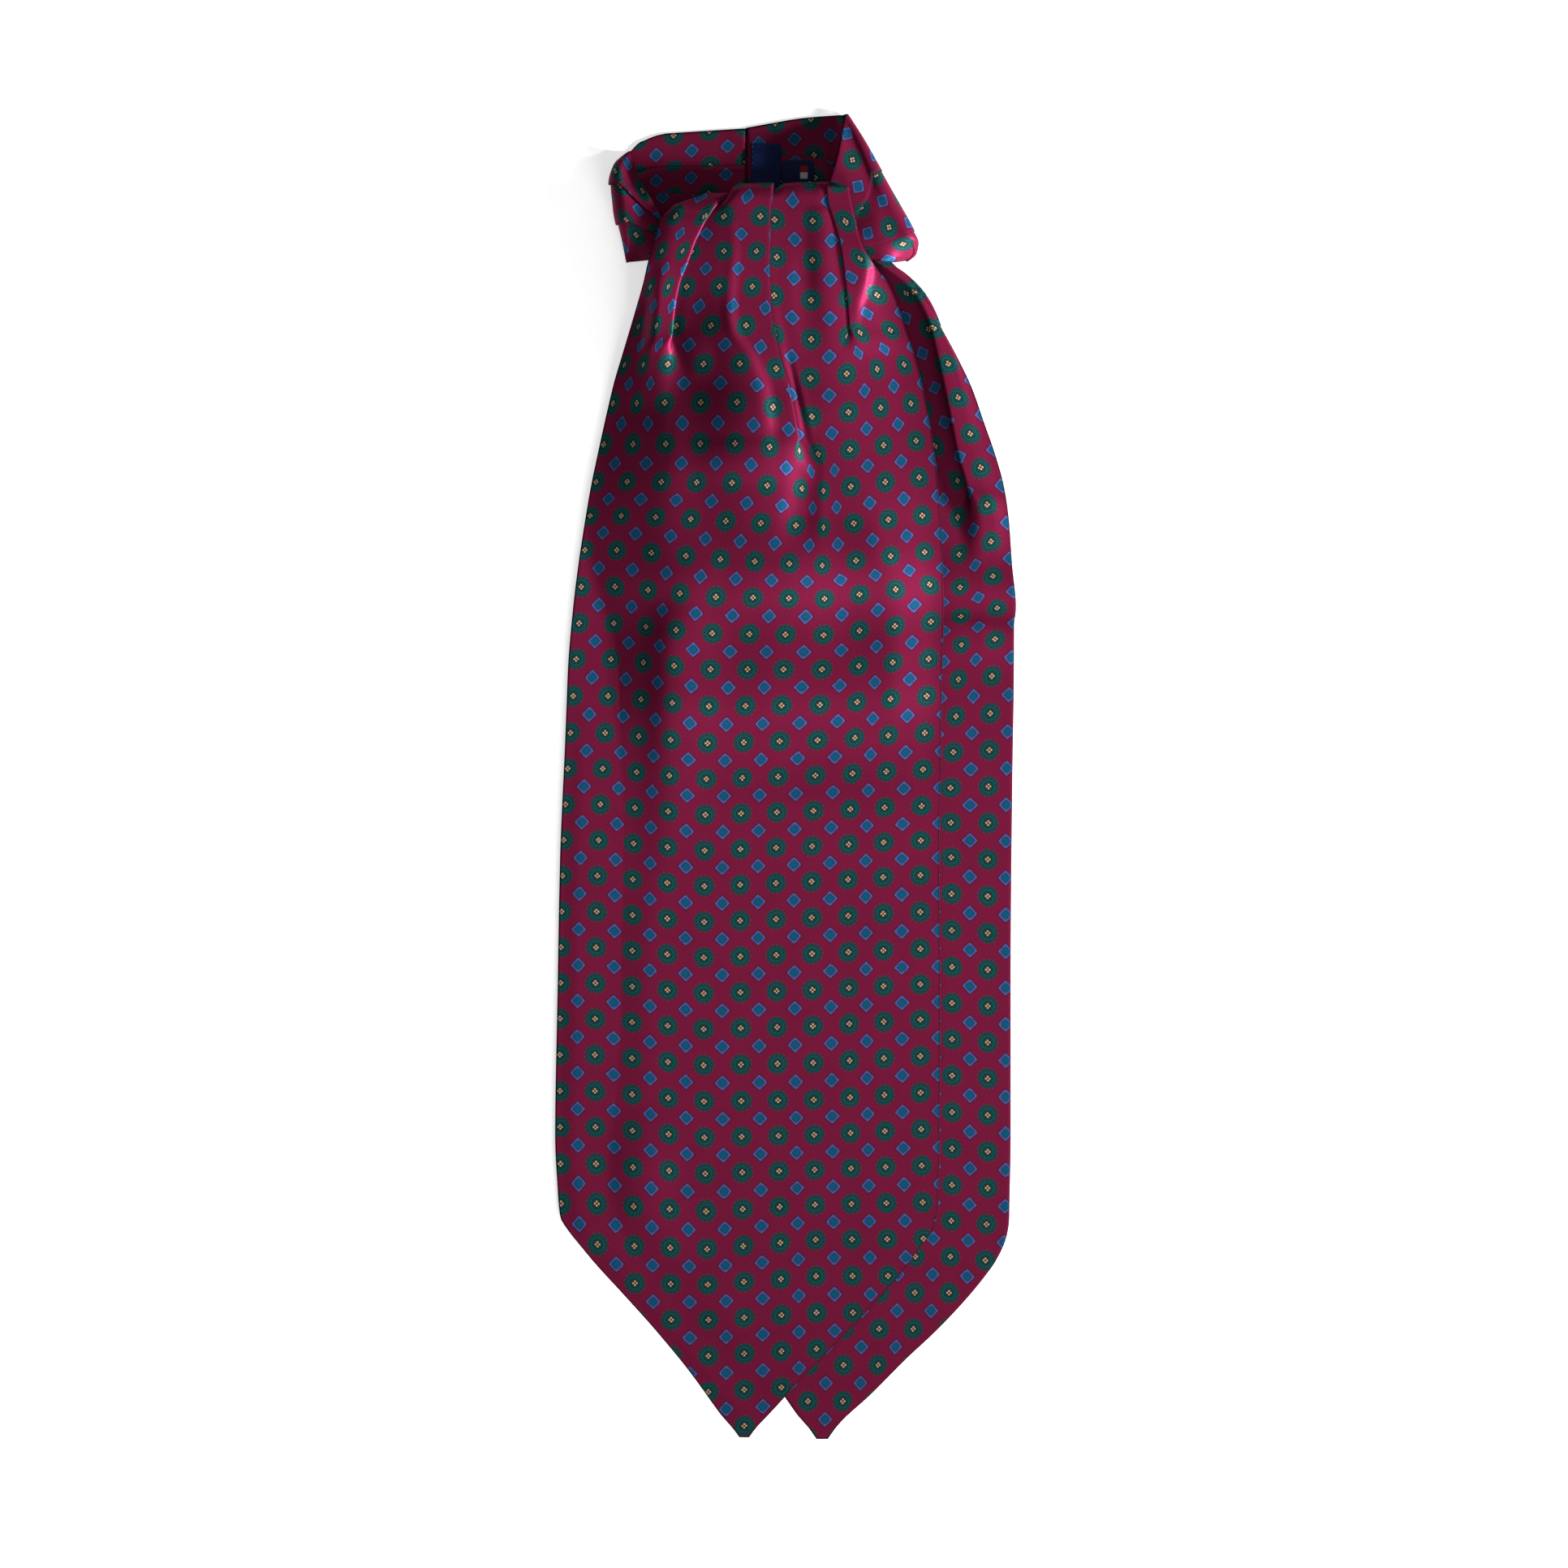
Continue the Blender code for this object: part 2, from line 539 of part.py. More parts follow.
def build():
    for obj in list(bpy.data.objects):
        bpy.data.objects.remove(obj, do_unlink=True)
    collection = bpy.data.collections.new("Silk cravat")
    bpy.context.scene.collection.children.link(collection)
    sheet("front_blade", FRONT_COUNT, len(FRONT_V), lambda i, j: front_point(i, FRONT_V[j]), CLOTH,
          material("Front blade silk", (0.19, 0.02, 0.06), 0.5), collection)
    sheet("rear_blade", REAR_COUNT, len(REAR_V), lambda i, j: rear_point(i, REAR_V[j]), CLOTH,
          material("Rear blade silk", (0.17, 0.02, 0.05), 0.5), collection)
    stations = band_stations()
    for name, rows, side, front, colour in (
        ("neckband_back_left", LEFT_BAND, -1, False, (0.20, 0.03, 0.07)),
        ("neckband_back_right", RIGHT_BAND, 1, False, (0.15, 0.02, 0.05)),
        ("neckband_front_left", LEFT_BAND, -1, True, (0.12, 0.01, 0.04)),
        ("neckband_front_right", RIGHT_BAND, 1, True, (0.20, 0.02, 0.06)),
    ):
        sheet(name, len(stations), len(BAND_Q),
              lambda i, j: band_point(rows, side, stations[i], BAND_Q[j], front), CLOTH,
              material(name.replace("_", " ") + " silk", colour, 0.5), collection)
    build_core(material("Hidden layers silk", (0.17, 0.02, 0.05), 0.6), collection)
    for name, (x0, x1, y0, y1) in LABELS.items():
        sheet(name, 6, 16, lambda i, j: label_point(x0 + (x1 - x0) * i / 5, y0 + (y1 - y0) * j / 15), LABEL,
              material(name.replace("_", " ") + " cloth", (0.02, 0.05, 0.15), 0.6), collection)


build()
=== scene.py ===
"""Looks of the silk cravat: pleated foulard silk, woven labels, a pale floor and soft side light.

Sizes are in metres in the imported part's frame. Tables give places in steps of the blade's width,
473 to the width, x to the right and y down the cravat, as the part's own source does.
"""

import collections
import math

import bmesh
import bpy
import mathutils
import numpy as np
from bpy.props import FloatProperty, FloatVectorProperty, IntProperty, PointerProperty
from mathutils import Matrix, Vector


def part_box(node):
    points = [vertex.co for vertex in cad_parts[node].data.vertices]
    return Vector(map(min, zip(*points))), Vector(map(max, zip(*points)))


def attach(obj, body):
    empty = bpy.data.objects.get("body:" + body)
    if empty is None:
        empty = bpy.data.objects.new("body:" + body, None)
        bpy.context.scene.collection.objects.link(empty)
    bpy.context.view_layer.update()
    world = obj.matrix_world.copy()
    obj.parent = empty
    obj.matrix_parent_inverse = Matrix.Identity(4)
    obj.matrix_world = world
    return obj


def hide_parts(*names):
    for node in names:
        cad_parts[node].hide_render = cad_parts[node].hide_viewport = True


bl_info = {
    "name": "Silk cravat",
    "version": (1, 0, 0),
    "blender": (4, 5, 0),
    "location": "View3D > Sidebar > Cravat",
    "description": "Builds a pleated silk cravat that lies flat, with its foulard print and labels",
    "category": "Object",
}

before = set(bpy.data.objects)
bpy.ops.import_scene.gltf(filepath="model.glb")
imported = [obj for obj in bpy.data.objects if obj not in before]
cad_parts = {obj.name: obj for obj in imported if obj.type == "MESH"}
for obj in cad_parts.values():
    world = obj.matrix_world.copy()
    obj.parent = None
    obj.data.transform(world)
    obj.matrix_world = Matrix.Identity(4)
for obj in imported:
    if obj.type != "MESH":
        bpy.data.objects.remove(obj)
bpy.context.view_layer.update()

# One step is this many metres, and this step lies at the origin.
STEP = 0.160 / 473.0
MIDDLE = (967.75, 956.0)
# The print's repeat in metres and in steps, how far its first column lies in from the left hem, and
# the steps of cloth between its rows over the roll.
REPEAT_METRES = 0.015
REPEAT = 44.35
FIRST_COLUMN = 6.4
ROLL_REPEAT = 47.7
# Rows where things begin: the back of the roll, its front, the flat part of the print, the points, and
# the tip of the front blade, then the rear blade's top and tip.
ROLL_BACK, ROLL_FRONT, FLAT_PRINT, POINTS, FRONT_END = 200, 275, 694, 1480, 1771
REAR_TOP, REAR_END = 310, 1773
# Metres from a hem or crease at which the painted edge shade no longer darkens the cloth.
EDGE_SHADE_REACH = 0.004

# The front blade: its hems, the edges of pleats A, B and C, the steps of cloth that each of them hides,
# and its height in millimetres.
FRONT_ROWS = (
    # y, left, a, hide_a, b, hide_b, c, hide_c, right, height
    (223, 820, 898, 40, 954, 76, 1019, 50, 1047, 13.05),
    (237, 817, 887, 56, 952, 75, 1020, 52, 1049, 13.05),
    (250, 815, 879, 64, 950, 73, 1022, 52, 1051, 13.05),
    (275, 812, 869, 62, 949, 70, 1028, 46, 1055, 13.05),
    (300, 806, 857, 46, 949, 65, 1035, 44, 1061, 13),
    (325, 799, 848, 36, 948, 61, 1039, 50, 1075, 12.8),
    (350, 793, 838, 33, 949, 58, 1042, 38, 1094, 12.4),
    (380, 784, 832, 28, 950, 54, 1045, 13, 1107, 12),
    (410, 775, 829, 14, 955, 49, 1047, 3, 1117, 11.6),
    (440, 766, 827, 4, 961, 46, 1048, 0, 1127, 11.2),
    (470, 757, 824, 1, 970, 40, 1047, 0, 1135, 10.9),
    (505, 748.5, 818, 0, 977, 26, 1046, 0, 1142, 11.3),
    (550, 738.5, 808, 0, 986, 5, 1046, 0, 1150, 11.1),
    (600, 728, 796, 0, 1000, 0, 1048, 0, 1155, 10.7),
    (650, 719.5, 784, 0, 1008, 0, 1052, 0, 1159, 10.0),
    (700, 712, 773, 0, 1010, 0, 1055, 0, 1161.5, 9.6),
    (750, 706, 768, 0, 1012, 0, 1058, 0, 1163, 7.2),
    (820, 700, 766, 0, 1012, 0, 1058, 0, 1161, 6.0),
    (870, 698, 766, 0, 1011, 0, 1057, 0, 1160, 4.8),
    (920, 696, 765, 0, 1010, 0, 1056, 0, 1159.5, 3.0),
    (1060, 690, 765, 0, 1006, 0, 1052, 0, 1157.5, 1.6),
    (1220, 687, 765, 0, 1004, 0, 1050, 0, 1158.5, 1.3),
    (1400, 684, 765, 0, 1002, 0, 1048, 0, 1158, 1.25),
    (1480, 688, 767, 0, 1000, 0, 1048, 0, 1156.5, 1.25),
)
# Its form: the foot and the crest of its left slope, where its right side starts to fall, and how low
# that side comes, in millimetres.
FRONT_FORM = (
    # y, foot, crest, fall, low
    (250, 805, 850, 1003, 11.2), (290, 805, 850, 1020, 11.6),
    (318, 805, 850, 1036, 12.0), (325, 800, 860, 1036, 10.9), (350, 791, 890, 1034, 8.2),
    (380, 780, 915, 1020, 6.6), (410, 770, 930, 1014, 6.2), (450, 757, 938, 1010, 6.4),
    (505, 742, 942, 1008, 7.2), (560, 730, 940, 1018, 8.0), (600, 721, 934, 1046, 8.2),
    (650, 714, 918, 1060, 6.9), (700, 722, 884, 1076, 5.4), (730, 730, 868, 1090, 4.4),
    (765, 742, 850, 1090, 3.4), (790, 750, 838, 1090, 3.2), (820, 754, 836, 1090, 3.1),
    (870, 756, 835, 1090, 2.9), (920, 760, 834, 1090, 2.2), (1060, 768, 826, 1090, 1.5),
    (1140, 764, 806, 1090, 1.35), (1220, 764, 800, 1090, 1.25), (1480, 745, 800, 1090, 1.25),
)
# The two points.
FRONT_TIP = (
    # y, left, right
    (1480, 688, 1156.5),
    (1500, 690.5, 1154), (1516, 700, 1149), (1536, 716, 1134), (1557, 733.5, 1119),
    (1593, 766.5, 1089), (1629, 799, 1055), (1654, 820.5, 1031), (1684, 845, 1002),
    (1708, 863, 978), (1725, 875, 963.5), (1744, 889, 946), (1760, 903, 931), (1771, 911, 923),
)
REAR_TIP = (
    # y, left, right
    (1480, 784, 1244),
    (1504, 790, 1243.5), (1516, 800, 1242), (1528, 808, 1239), (1552, 826, 1228), (1576, 846, 1211),
    (1600, 866, 1191), (1624, 886, 1169), (1648, 906, 1145), (1672, 926, 1119), (1696, 946, 1095),
    (1720, 966, 1071), (1744, 983, 1044), (1760, 997, 1027), (1773, 1006, 1016),
)
# The rear blade: its hems, the edge of its fold, the steps of cloth that the fold hides, and its height
# in millimetres.
REAR_ROWS = (
    # y, left, edge, hide, right, height
    (310, 1022, 1058, 14, 1084, 3.1),
    (317, 1010, 1070, 16, 1091, 3.1),
    (331, 960, 1092, 20, 1106, 2.3),
    (345, 905, 1110, 24, 1119, 1.4),
    (370, 870, 1131, 28, 1138, 0.7),
    (400, 846, 1145, 30, 1157, 0.5),
    (440, 826, 1155, 32, 1179, 0.5),
    (480, 811, 1164, 32, 1198, 0.5),
    (520, 800, 1172, 30, 1212, 0.5),
    (560, 793, 1180, 24, 1226, 0.5),
    (600, 788, 1191, 12, 1237, 0.5),
    (640, 785, 1196, 3, 1243, 0.5),
    (700, 782, 1196, 0, 1247.5, 0.5),
    (749, 781, 1194, 0, 1252, 0.5),
    (757, 781, 1194, 0, 1251.5, 0.5),
    (768, 781, 1194, 0, 1249.6, 0.5),
    (820, 781, 1192, 0, 1249.5, 0.5),
    (960, 781, 1190, 0, 1247.5, 0.5),
    (1200, 781, 1188, 0, 1245.5, 0.5),
    (1400, 782, 1186, 0, 1245.5, 0.5),
    (1480, 784, 1184, 0, 1244, 0.5),
)
# How high the fold stands: rows, and millimetres at each.
REAR_LIFT = (
    (310, 345, 380, 440, 500, 560, 610, 650, 700),
    (0.0, 0.8, 2.2, 2.9, 2.7, 2.2, 1.4, 0.6, 0.0),
)
# The upper edge of the roll over the knot: x, and y at each.
ROLL_TOP = (
    (815, 830, 850, 885, 896, 920, 954, 980, 1016),
    (262, 252, 245, 243, 239, 230, 226, 224, 225),
)
# The neckband's two sides: how far across it, and x and y at the turn, half way to the centre back, at
# the centre back, half way to the knot and at the knot.
LEFT_BAND = (
    (0.00, 770, 190, 796, 166, 920.8, 158, 790, 226, 813, 262),
    (0.16, 757, 202, 790, 182, 920.8, 180, 789, 240, 816, 270),
    (0.33, 749.5, 228, 786, 212, 920.8, 209, 786, 250, 822, 281),
    (0.50, 754, 255, 788, 227, 920.8, 230, 787, 266, 826, 290),
    (0.67, 758.5, 278, 790, 241, 920.8, 250, 789, 282, 830, 298),
    (0.84, 765, 302, 790, 272, 920.8, 268, 795, 304, 832, 310),
    (1.00, 770, 324.5, 794, 306, 920.8, 288, 800, 322, 833, 320),
)
RIGHT_BAND = (
    (0.00, 1045.5, 141, 988, 145, 919.2, 157.5, 1033, 186, 1020, 228),
    (0.16, 1064, 170, 994, 166, 919.2, 178, 1052, 212, 1036, 246),
    (0.33, 1087, 211, 998, 196, 919.2, 199, 1072, 240, 1051, 272),
    (0.50, 1108, 250, 1006, 223, 919.2, 220, 1086, 270, 1055, 290),
    (0.67, 1127, 285, 1014, 254, 919.2, 240, 1097, 299, 1059, 307),
    (0.80, 1133, 300, 1020, 272, 919.2, 256, 1103, 310, 1063, 314),
    (0.91, 1130, 314, 1024, 288, 919.2, 270, 1101, 320, 1068, 319),
    (1.00, 1118, 324, 1026, 298, 919.2, 282, 1095, 325.5, 1072, 322),
)
# Where its two pleats lie, as parts of its width.
BAND_PLEATS = (0.33, 0.67)

# Steps of cloth left of each place on the front blade: of its left hem, of both sides of pleats A, B
# and C, and of its right hem. They set where the print's columns lie.
FRONT_CLOTH = (
    # y, left, a before, a after, b before, b after, c before, c after, right
    (270, -17.6, 55.5, 119.7, 195.6, 267.8, 340.7, 436.9, 464),
    (320, -17, 70, 91.7, 203, 263.4, 354.4, 427.3, 464),
    (365, -14.6, 76, 83.4, 209.5, 268.3, 359.4, 414.4, 470),
    (412, -13, 91.5, 93, 221.6, 273.9, 363, 392, 472),
    (455, -6, 98.7, 98.7, 237, 284.9, 365.6, 366.8, 471),
    (505, -1, 94.1, 94.1, 252.9, 296.2, 362.2, 362.2, 472),
    (553, 0, 81.7, 81.7, 268, 295, 360.3, 360.3, 473),
    (600, 0, 76.4, 76.4, 283.5, 301.9, 361.2, 361.2, 473),
    (648, 0, 72.5, 72.5, 300, 313, 361.2, 361.2, 473),
    (694, 0, 66, 66, 311, 315.8, 361.2, 361.2, 473),
)
# Further down no pleat hides cloth. There these are the x of the print's columns 0 to 10.
FRONT_COLUMNS = (
    (738, 717, 760, 799, 837, 882, 928, 972, 1016, 1059, 1105, 1149),
    (776, 713, 756, 796, 833, 878, 924, 968, 1015, 1059, 1102, 1146),
    (1085, 693, 736, 780, 822, 868, 912, 956, 1000, 1045, 1088, 1134),
    (1304, 690, 733, 779, 823, 867, 913, 958, 1002, 1047, 1089, 1134),
    (1617, 693, 738, 783, 827, 873, 917, 963, 1006, 1051, 1095, 1140),
)
# Where the print's rows cross columns 4, 7 and 10 of the front blade.
FRONT_LINES = (
    # row, y on column 4, y on column 7, y on column 10
    (0, 270, 275, 277), (1, 312, 323, 321), (2, 355, 372, 365), (3, 403, 420, 408), (4, 450, 468, 450),
    (5, 497, 515, 498), (6, 548, 561, 544), (7, 596, 606, 589), (8, 643, 651, 636), (9, 690, 698, 681),
    (10, 736, 738, 720), (11, 781, 783, 766), (12, 825, 825, 812), (14, 916, 912, 903),
    (16, 1004, 999, 993), (18, 1092, 1086, 1078), (20, 1180, 1175, 1169), (22, 1268, 1264, 1256),
    (24, 1357, 1355, 1346), (26, 1446, 1441, 1436), (28, 1539, 1527, 1526), (30, 1626, 1617, 1617),
    (34, 1804, 1795, 1795),
)
# The rear blade's print: where its outer column and the next one lie, and where the rows cross them.
REAR_LINES = (
    # row, y on the outer column, its x, y on the next column, its x
    (-4, 272, 1060, 290, 1022), (-3, 316, 1090, 334, 1052), (-2, 361, 1126, 378, 1088),
    (-1, 405, 1150, 422, 1110), (0, 449, 1168, 466, 1128), (1, 490, 1180, 506, 1138),
    (2, 535, 1195, 550, 1152), (3, 576, 1208, 593, 1181), (4, 622, 1216, 638, 1180),
    (5, 667, 1221, 684, 1182), (6, 710, 1223, 724, 1183), (7, 749, 1229, 760, 1184),
    (8, 787, 1226, 794, 1185), (9, 833, 1222, 837, 1181), (10, 879, 1220, 883, 1178),
    (12, 969, 1218, 971, 1171), (14, 1059, 1217, 1056, 1172), (17, 1195, 1217, 1191, 1173),
    (20, 1329, 1217, 1325, 1173), (23, 1464, 1217, 1460, 1173), (25, 1553, 1214, 1548, 1171),
    (30, 1776, 1210, 1771, 1167),
)
# The neckband's print by stretch and panel: where a medallion lies, and the steps to its neighbours
# along the band and across it.
BAND_PRINT = {
    "neckband_back_left": (
        (830, 167, 44, -5.5, 1, 43), (830, 242, 43, -4, 0, 42), (838, 262, 43, -4, 0, 42)),
    "neckband_back_right": (
        (955, 152, 44, -5, 4, 44), (960, 224, 44, -5, 4, 44), (960, 262, 44, -5, 4, 44)),
    "neckband_front_left": (
        (758, 212, 34, 25, 4, 44), (772, 273, 38, 18, 8, 42), (784.5, 291, 40, 14, 6, 44)),
    "neckband_front_right": (
        (1050, 199, 36, 26, -22, 40), (1095, 282, 34, 25, -18, 40), (1112, 302, 48, -11, 12, 27)),
}
# Soft folds of the front blade that run down it: a ridge where the height is above 0, else a trough.
FRONT_DOWN = (
    # y, x, height in millimetres, width of its left side, width of its right side
    ((262, 932, 0.0, 60, 24), (300, 926, 0.5, 64, 30), (360, 922, 1.0, 70, 34),
     (410, 926, 1.7, 80, 44), (460, 934, 2.5, 90, 56), (520, 942, 3.0, 100, 66),
     (570, 946, 2.7, 100, 66), (630, 948, 1.4, 90, 60), (690, 950, 0.0, 80, 60)),
    ((740, 828, 0.0, 34, 80), (790, 828, 1.1, 36, 80), (870, 826, 1.1, 36, 80),
     (960, 822, 0.6, 40, 70), (1090, 818, 0.0, 44, 60)),
    ((1360, 795, 0.0, 50, 60), (1440, 790, 0.9, 48, 60), (1500, 798, 0.6, 42, 60),
     (1560, 815, 0.0, 34, 50)),
    ((250, 1010, 0.4, 22, 14), (300, 1013, 0.9, 24, 18), (345, 1016, 0.8, 24, 20),
     (395, 1020, 0.0, 24, 20)),
    ((300, 986, 0.0, 18, 22), (340, 990, -0.5, 18, 24), (400, 994, -0.5, 20, 26),
     (450, 1004, 0.0, 22, 26)),
    ((404, 850, 0.0, 24, 26), (436, 856, 1.0, 26, 30), (474, 860, 0.0, 26, 30)),
    ((520, 990, 0.0, 16, 20), (560, 990, -0.9, 18, 24), (600, 988, -1.2, 22, 28),
     (640, 984, -1.3, 28, 30), (690, 978, 0.0, 34, 34)),
    ((600, 958, 0.0, 90, 70), (660, 962, 1.0, 105, 80), (730, 966, 1.6, 110, 90),
     (790, 960, 0.9, 100, 90), (850, 950, 0.0, 90, 90)),
    ((425, 962, 0.0, 7, 10), (450, 970, -0.9, 8, 11), (490, 979, -1.5, 9, 12),
     (525, 986, -1.3, 10, 14), (575, 991, 0.0, 12, 20)),
)
# Soft folds that run across it.
FRONT_ACROSS = (
    # x, y, height in millimetres, width of its upper side, width of its lower side
    ((890, 690, 0.0, 60, 46), (980, 688, 1.3, 60, 44), (1080, 686, 1.5, 56, 44),
     (1163, 694, 0.8, 50, 40)),
    ((850, 768, 0.0, 40, 46), (930, 768, -1.0, 44, 46), (1060, 764, -1.3, 44, 50),
     (1163, 754, -0.9, 36, 50)),
    ((850, 852, 0.3, 50, 50), (950, 852, 1.3, 50, 50), (1100, 850, 1.1, 50, 48),
     (1163, 846, 0.4, 44, 44)),
    ((850, 940, 0.0, 40, 50), (980, 942, -0.8, 40, 56), (1100, 938, -0.7, 40, 56),
     (1163, 932, -0.2, 40, 50)),
    ((880, 1004, 0.2, 40, 60), (1000, 1010, 0.25, 44, 70), (1120, 1020, 0.1, 44, 70)),
)
# The rear blade's wrinkle: two ridges with a valley between them.
REAR_ACROSS = (
    ((1120, 706, 0.0, 40, 34), (1170, 712, 1.4, 44, 30), (1210, 718, 1.8, 46, 32),
     (1252, 724, 1.7, 46, 32)),
    ((1140, 766, 0.0, 14, 40), (1175, 770, 1.1, 16, 50), (1210, 774, 1.4, 17, 54),
     (1252, 780, 1.0, 18, 50)),
)
# Parts of a pleat where its first turn, its way back, its second turn and its way on begin, and its end.
TURN_MARKS = (0.0, 0.4, 0.5, 0.9, 1.0)


class CravatCloth(bpy.types.PropertyGroup):
    """Sizes of the cloth and its folds."""

    thickness: FloatProperty(
        name="Cloth", description="Thickness of the pressed cloth",
        default=0.0006, unit="LENGTH")
    fold_radius: FloatProperty(
        name="Fold radius", description="Radius of a pleat's folded edge",
        default=0.00065, unit="LENGTH")
    band_layer: FloatProperty(
        name="Band step", description="Height of one pleat step in the neckband",
        default=0.0010, unit="LENGTH")
    band_cloth: FloatProperty(
        name="Band cloth", description="Thickness of the neckband's cloth",
        default=0.0004, unit="LENGTH")
    band_fold: FloatProperty(
        name="Band fold", description="Radius of a fold in the neckband",
        default=0.00024, unit="LENGTH")
    band_hidden: FloatProperty(
        name="Band pleat", description="Cloth out of sight in each pleat of the neckband",
        default=0.004, unit="LENGTH")
    turn_radius: FloatProperty(
        name="Side turn", description="Radius of the neckband's turn at its sides",
        default=0.0046, unit="LENGTH")
    roll_radius: FloatProperty(
        name="Roll", description="Radius of the roll over the knot",
        default=0.0040, unit="LENGTH")
    roll_swell: FloatProperty(
        name="Roll swell", description="How far the pleats raise the roll",
        default=0.0026, unit="LENGTH")
    rows: IntProperty(
        name="Rows", description="Rows of faces down each blade", default=230, min=40, max=400)


class CravatPrint(bpy.types.PropertyGroup):
    """Sizes and colours of the print."""

    repeat: FloatProperty(
        name="Repeat", description="Distance between two medallions",
        default=REPEAT_METRES, unit="LENGTH")
    ground: FloatVectorProperty(
        name="Ground", description="Colour of the silk",
        default=(0.165, 0.0085, 0.040), size=3, subtype="COLOR")
    leaf: FloatVectorProperty(
        name="Medallion", description="Colour of the medallions",
        default=(0.005, 0.043, 0.046), size=3, subtype="COLOR")
    ring: FloatVectorProperty(
        name="Rings", description="Colour of the rings in a medallion",
        default=(0.010, 0.120, 0.105), size=3, subtype="COLOR")
    petal: FloatVectorProperty(
        name="Petals", description="Colour of the four petals",
        default=(0.50, 0.36, 0.21), size=3, subtype="COLOR")
    navy: FloatVectorProperty(
        name="Outlines", description="Colour of the dark outlines",
        default=(0.006, 0.010, 0.022), size=3, subtype="COLOR")
    brown: FloatVectorProperty(
        name="Cross", description="Colour of the cross between the petals",
        default=(0.045, 0.006, 0.006), size=3, subtype="COLOR")
    lavender: FloatVectorProperty(
        name="Star outline", description="Colour of the stars' outline",
        default=(0.080, 0.095, 0.26), size=3, subtype="COLOR")
    blue: FloatVectorProperty(
        name="Star", description="Colour inside the stars' outline",
        default=(0.004, 0.035, 0.17), size=3, subtype="COLOR")
    teal: FloatVectorProperty(
        name="Star centre", description="Colour of the stars' centre",
        default=(0.003, 0.085, 0.14), size=3, subtype="COLOR")


class CravatStage(bpy.types.PropertyGroup):
    """Light and floor."""

    key: FloatProperty(
        name="Key light", description="Strength of the low light from the right",
        default=1090.0, min=0.0)
    side: FloatProperty(
        name="Second light", description="Strength of the broad light from the points' side",
        default=128.0, min=0.0)
    fill: FloatProperty(
        name="Fill light", description="Strength of the light from above", default=2.0, min=0.0)
    sky: FloatProperty(
        name="Surroundings", description="Brightness of the surroundings", default=0.16, min=0.0)
    floor: FloatVectorProperty(
        name="Floor", description="Colour of the floor",
        default=(0.90, 0.90, 0.90), size=3, subtype="COLOR")


def cloth():
    return bpy.context.scene.cravat_cloth


def across(x):
    return (x - MIDDLE[0]) * STEP


def along(y):
    return (MIDDLE[1] - y) * STEP


def smooth(t):
    """0 to 1 with soft ends."""
    t = np.clip(t, 0.0, 1.0)
    return t * t * (3 - 2 * t)


class Table:
    """Rows of numbers read at any height on a monotone curve from row to row."""

    def __init__(self, rows):
        data = np.array(rows, float)
        self.at, self.data = data[:, 0], data[:, 1:]
        step = np.diff(self.data, axis=0) / np.diff(self.at)[:, None]
        self.slope = np.zeros_like(self.data)
        self.slope[0], self.slope[-1] = step[0], step[-1]
        same = step[:-1] * step[1:] > 0
        total = np.where(same, step[:-1] + step[1:], 1.0)
        self.slope[1:-1] = np.where(same, 2 * step[:-1] * step[1:] / total, 0.0)

    def __call__(self, y):
        y = min(max(y, self.at[0]), self.at[-1])
        i = int(min(max(np.searchsorted(self.at, y) - 1, 0), len(self.at) - 2))
        gap = self.at[i + 1] - self.at[i]
        t = (y - self.at[i]) / gap
        return ((2 * t**3 - 3 * t**2 + 1) * self.data[i] + (t**3 - 2 * t**2 + t) * gap * self.slope[i]
                + (-2 * t**3 + 3 * t**2) * self.data[i + 1] + (t**3 - t**2) * gap * self.slope[i + 1])


FRONT, FRONT_POINT = Table(FRONT_ROWS), Table(FRONT_TIP)
FRONT_SHAPE = Table(FRONT_FORM)
REAR, REAR_POINT = Table(REAR_ROWS), Table(REAR_TIP)
LEFT_SIDE, RIGHT_SIDE = Table(LEFT_BAND), Table(RIGHT_BAND)
CLOTH_AT, COLUMNS_AT = Table(FRONT_CLOTH), Table(FRONT_COLUMNS)


def pleat(t, hidden, radius):
    """How a pleat goes across and down at each t along it, with hidden metres of cloth out of sight."""
    full = 2 * math.pi * radius
    if hidden >= full:
        flat, turn = 0.5 * (hidden - full), math.pi * radius
        d = np.interp(t, TURN_MARKS, (0.0, turn, turn + flat, 2 * turn + flat, 2 * (turn + flat)))
        first, second = d / radius, (d - turn - flat) / radius
        dx = np.where(d <= turn, radius * np.sin(first), np.where(
            d <= turn + flat, turn - d, np.where(
                d <= 2 * turn + flat, -flat - radius * np.sin(second), d - 2 * turn - 2 * flat)))
        dz = np.where(d <= turn, -radius * (1 - np.cos(first)), np.where(
            d <= turn + flat, -2 * radius, np.where(
                d <= 2 * turn + flat, -2 * radius - radius * (1 - np.cos(second)), -4 * radius)))
        return dx, dz
    # Too little cloth for two half turns: the pleat opens into two bends that grow wider as it fades.
    part = max(hidden, 1e-6) / full
    radius *= 1 + 4.5 * (1 - part) ** 1.5
    low, high = 0.0, math.pi
    for _ in range(40):
        angle = 0.5 * (low + high)
        if 2 * radius * (angle - math.sin(angle)) < hidden:
            low = angle
        else:
            high = angle
    a = 2 * angle * t
    b = 2 * angle - a
    spread = 0.008 * (1 - part) * t
    down = a <= angle
    dx = spread + radius * np.where(down, np.sin(a), 2 * math.sin(angle) - np.sin(b))
    dz = -radius * np.where(down, 1 - np.cos(a), 1 - 2 * math.cos(angle) + np.cos(b))
    return dx, dz


def pleat_size(hidden, radius, narrow):
    """How many steps a whole pleat goes across, and how many metres down."""
    wide, drop = pleat(np.array([1.0]), hidden, radius)
    return float(wide[0]) / STEP * narrow, -float(drop[0])


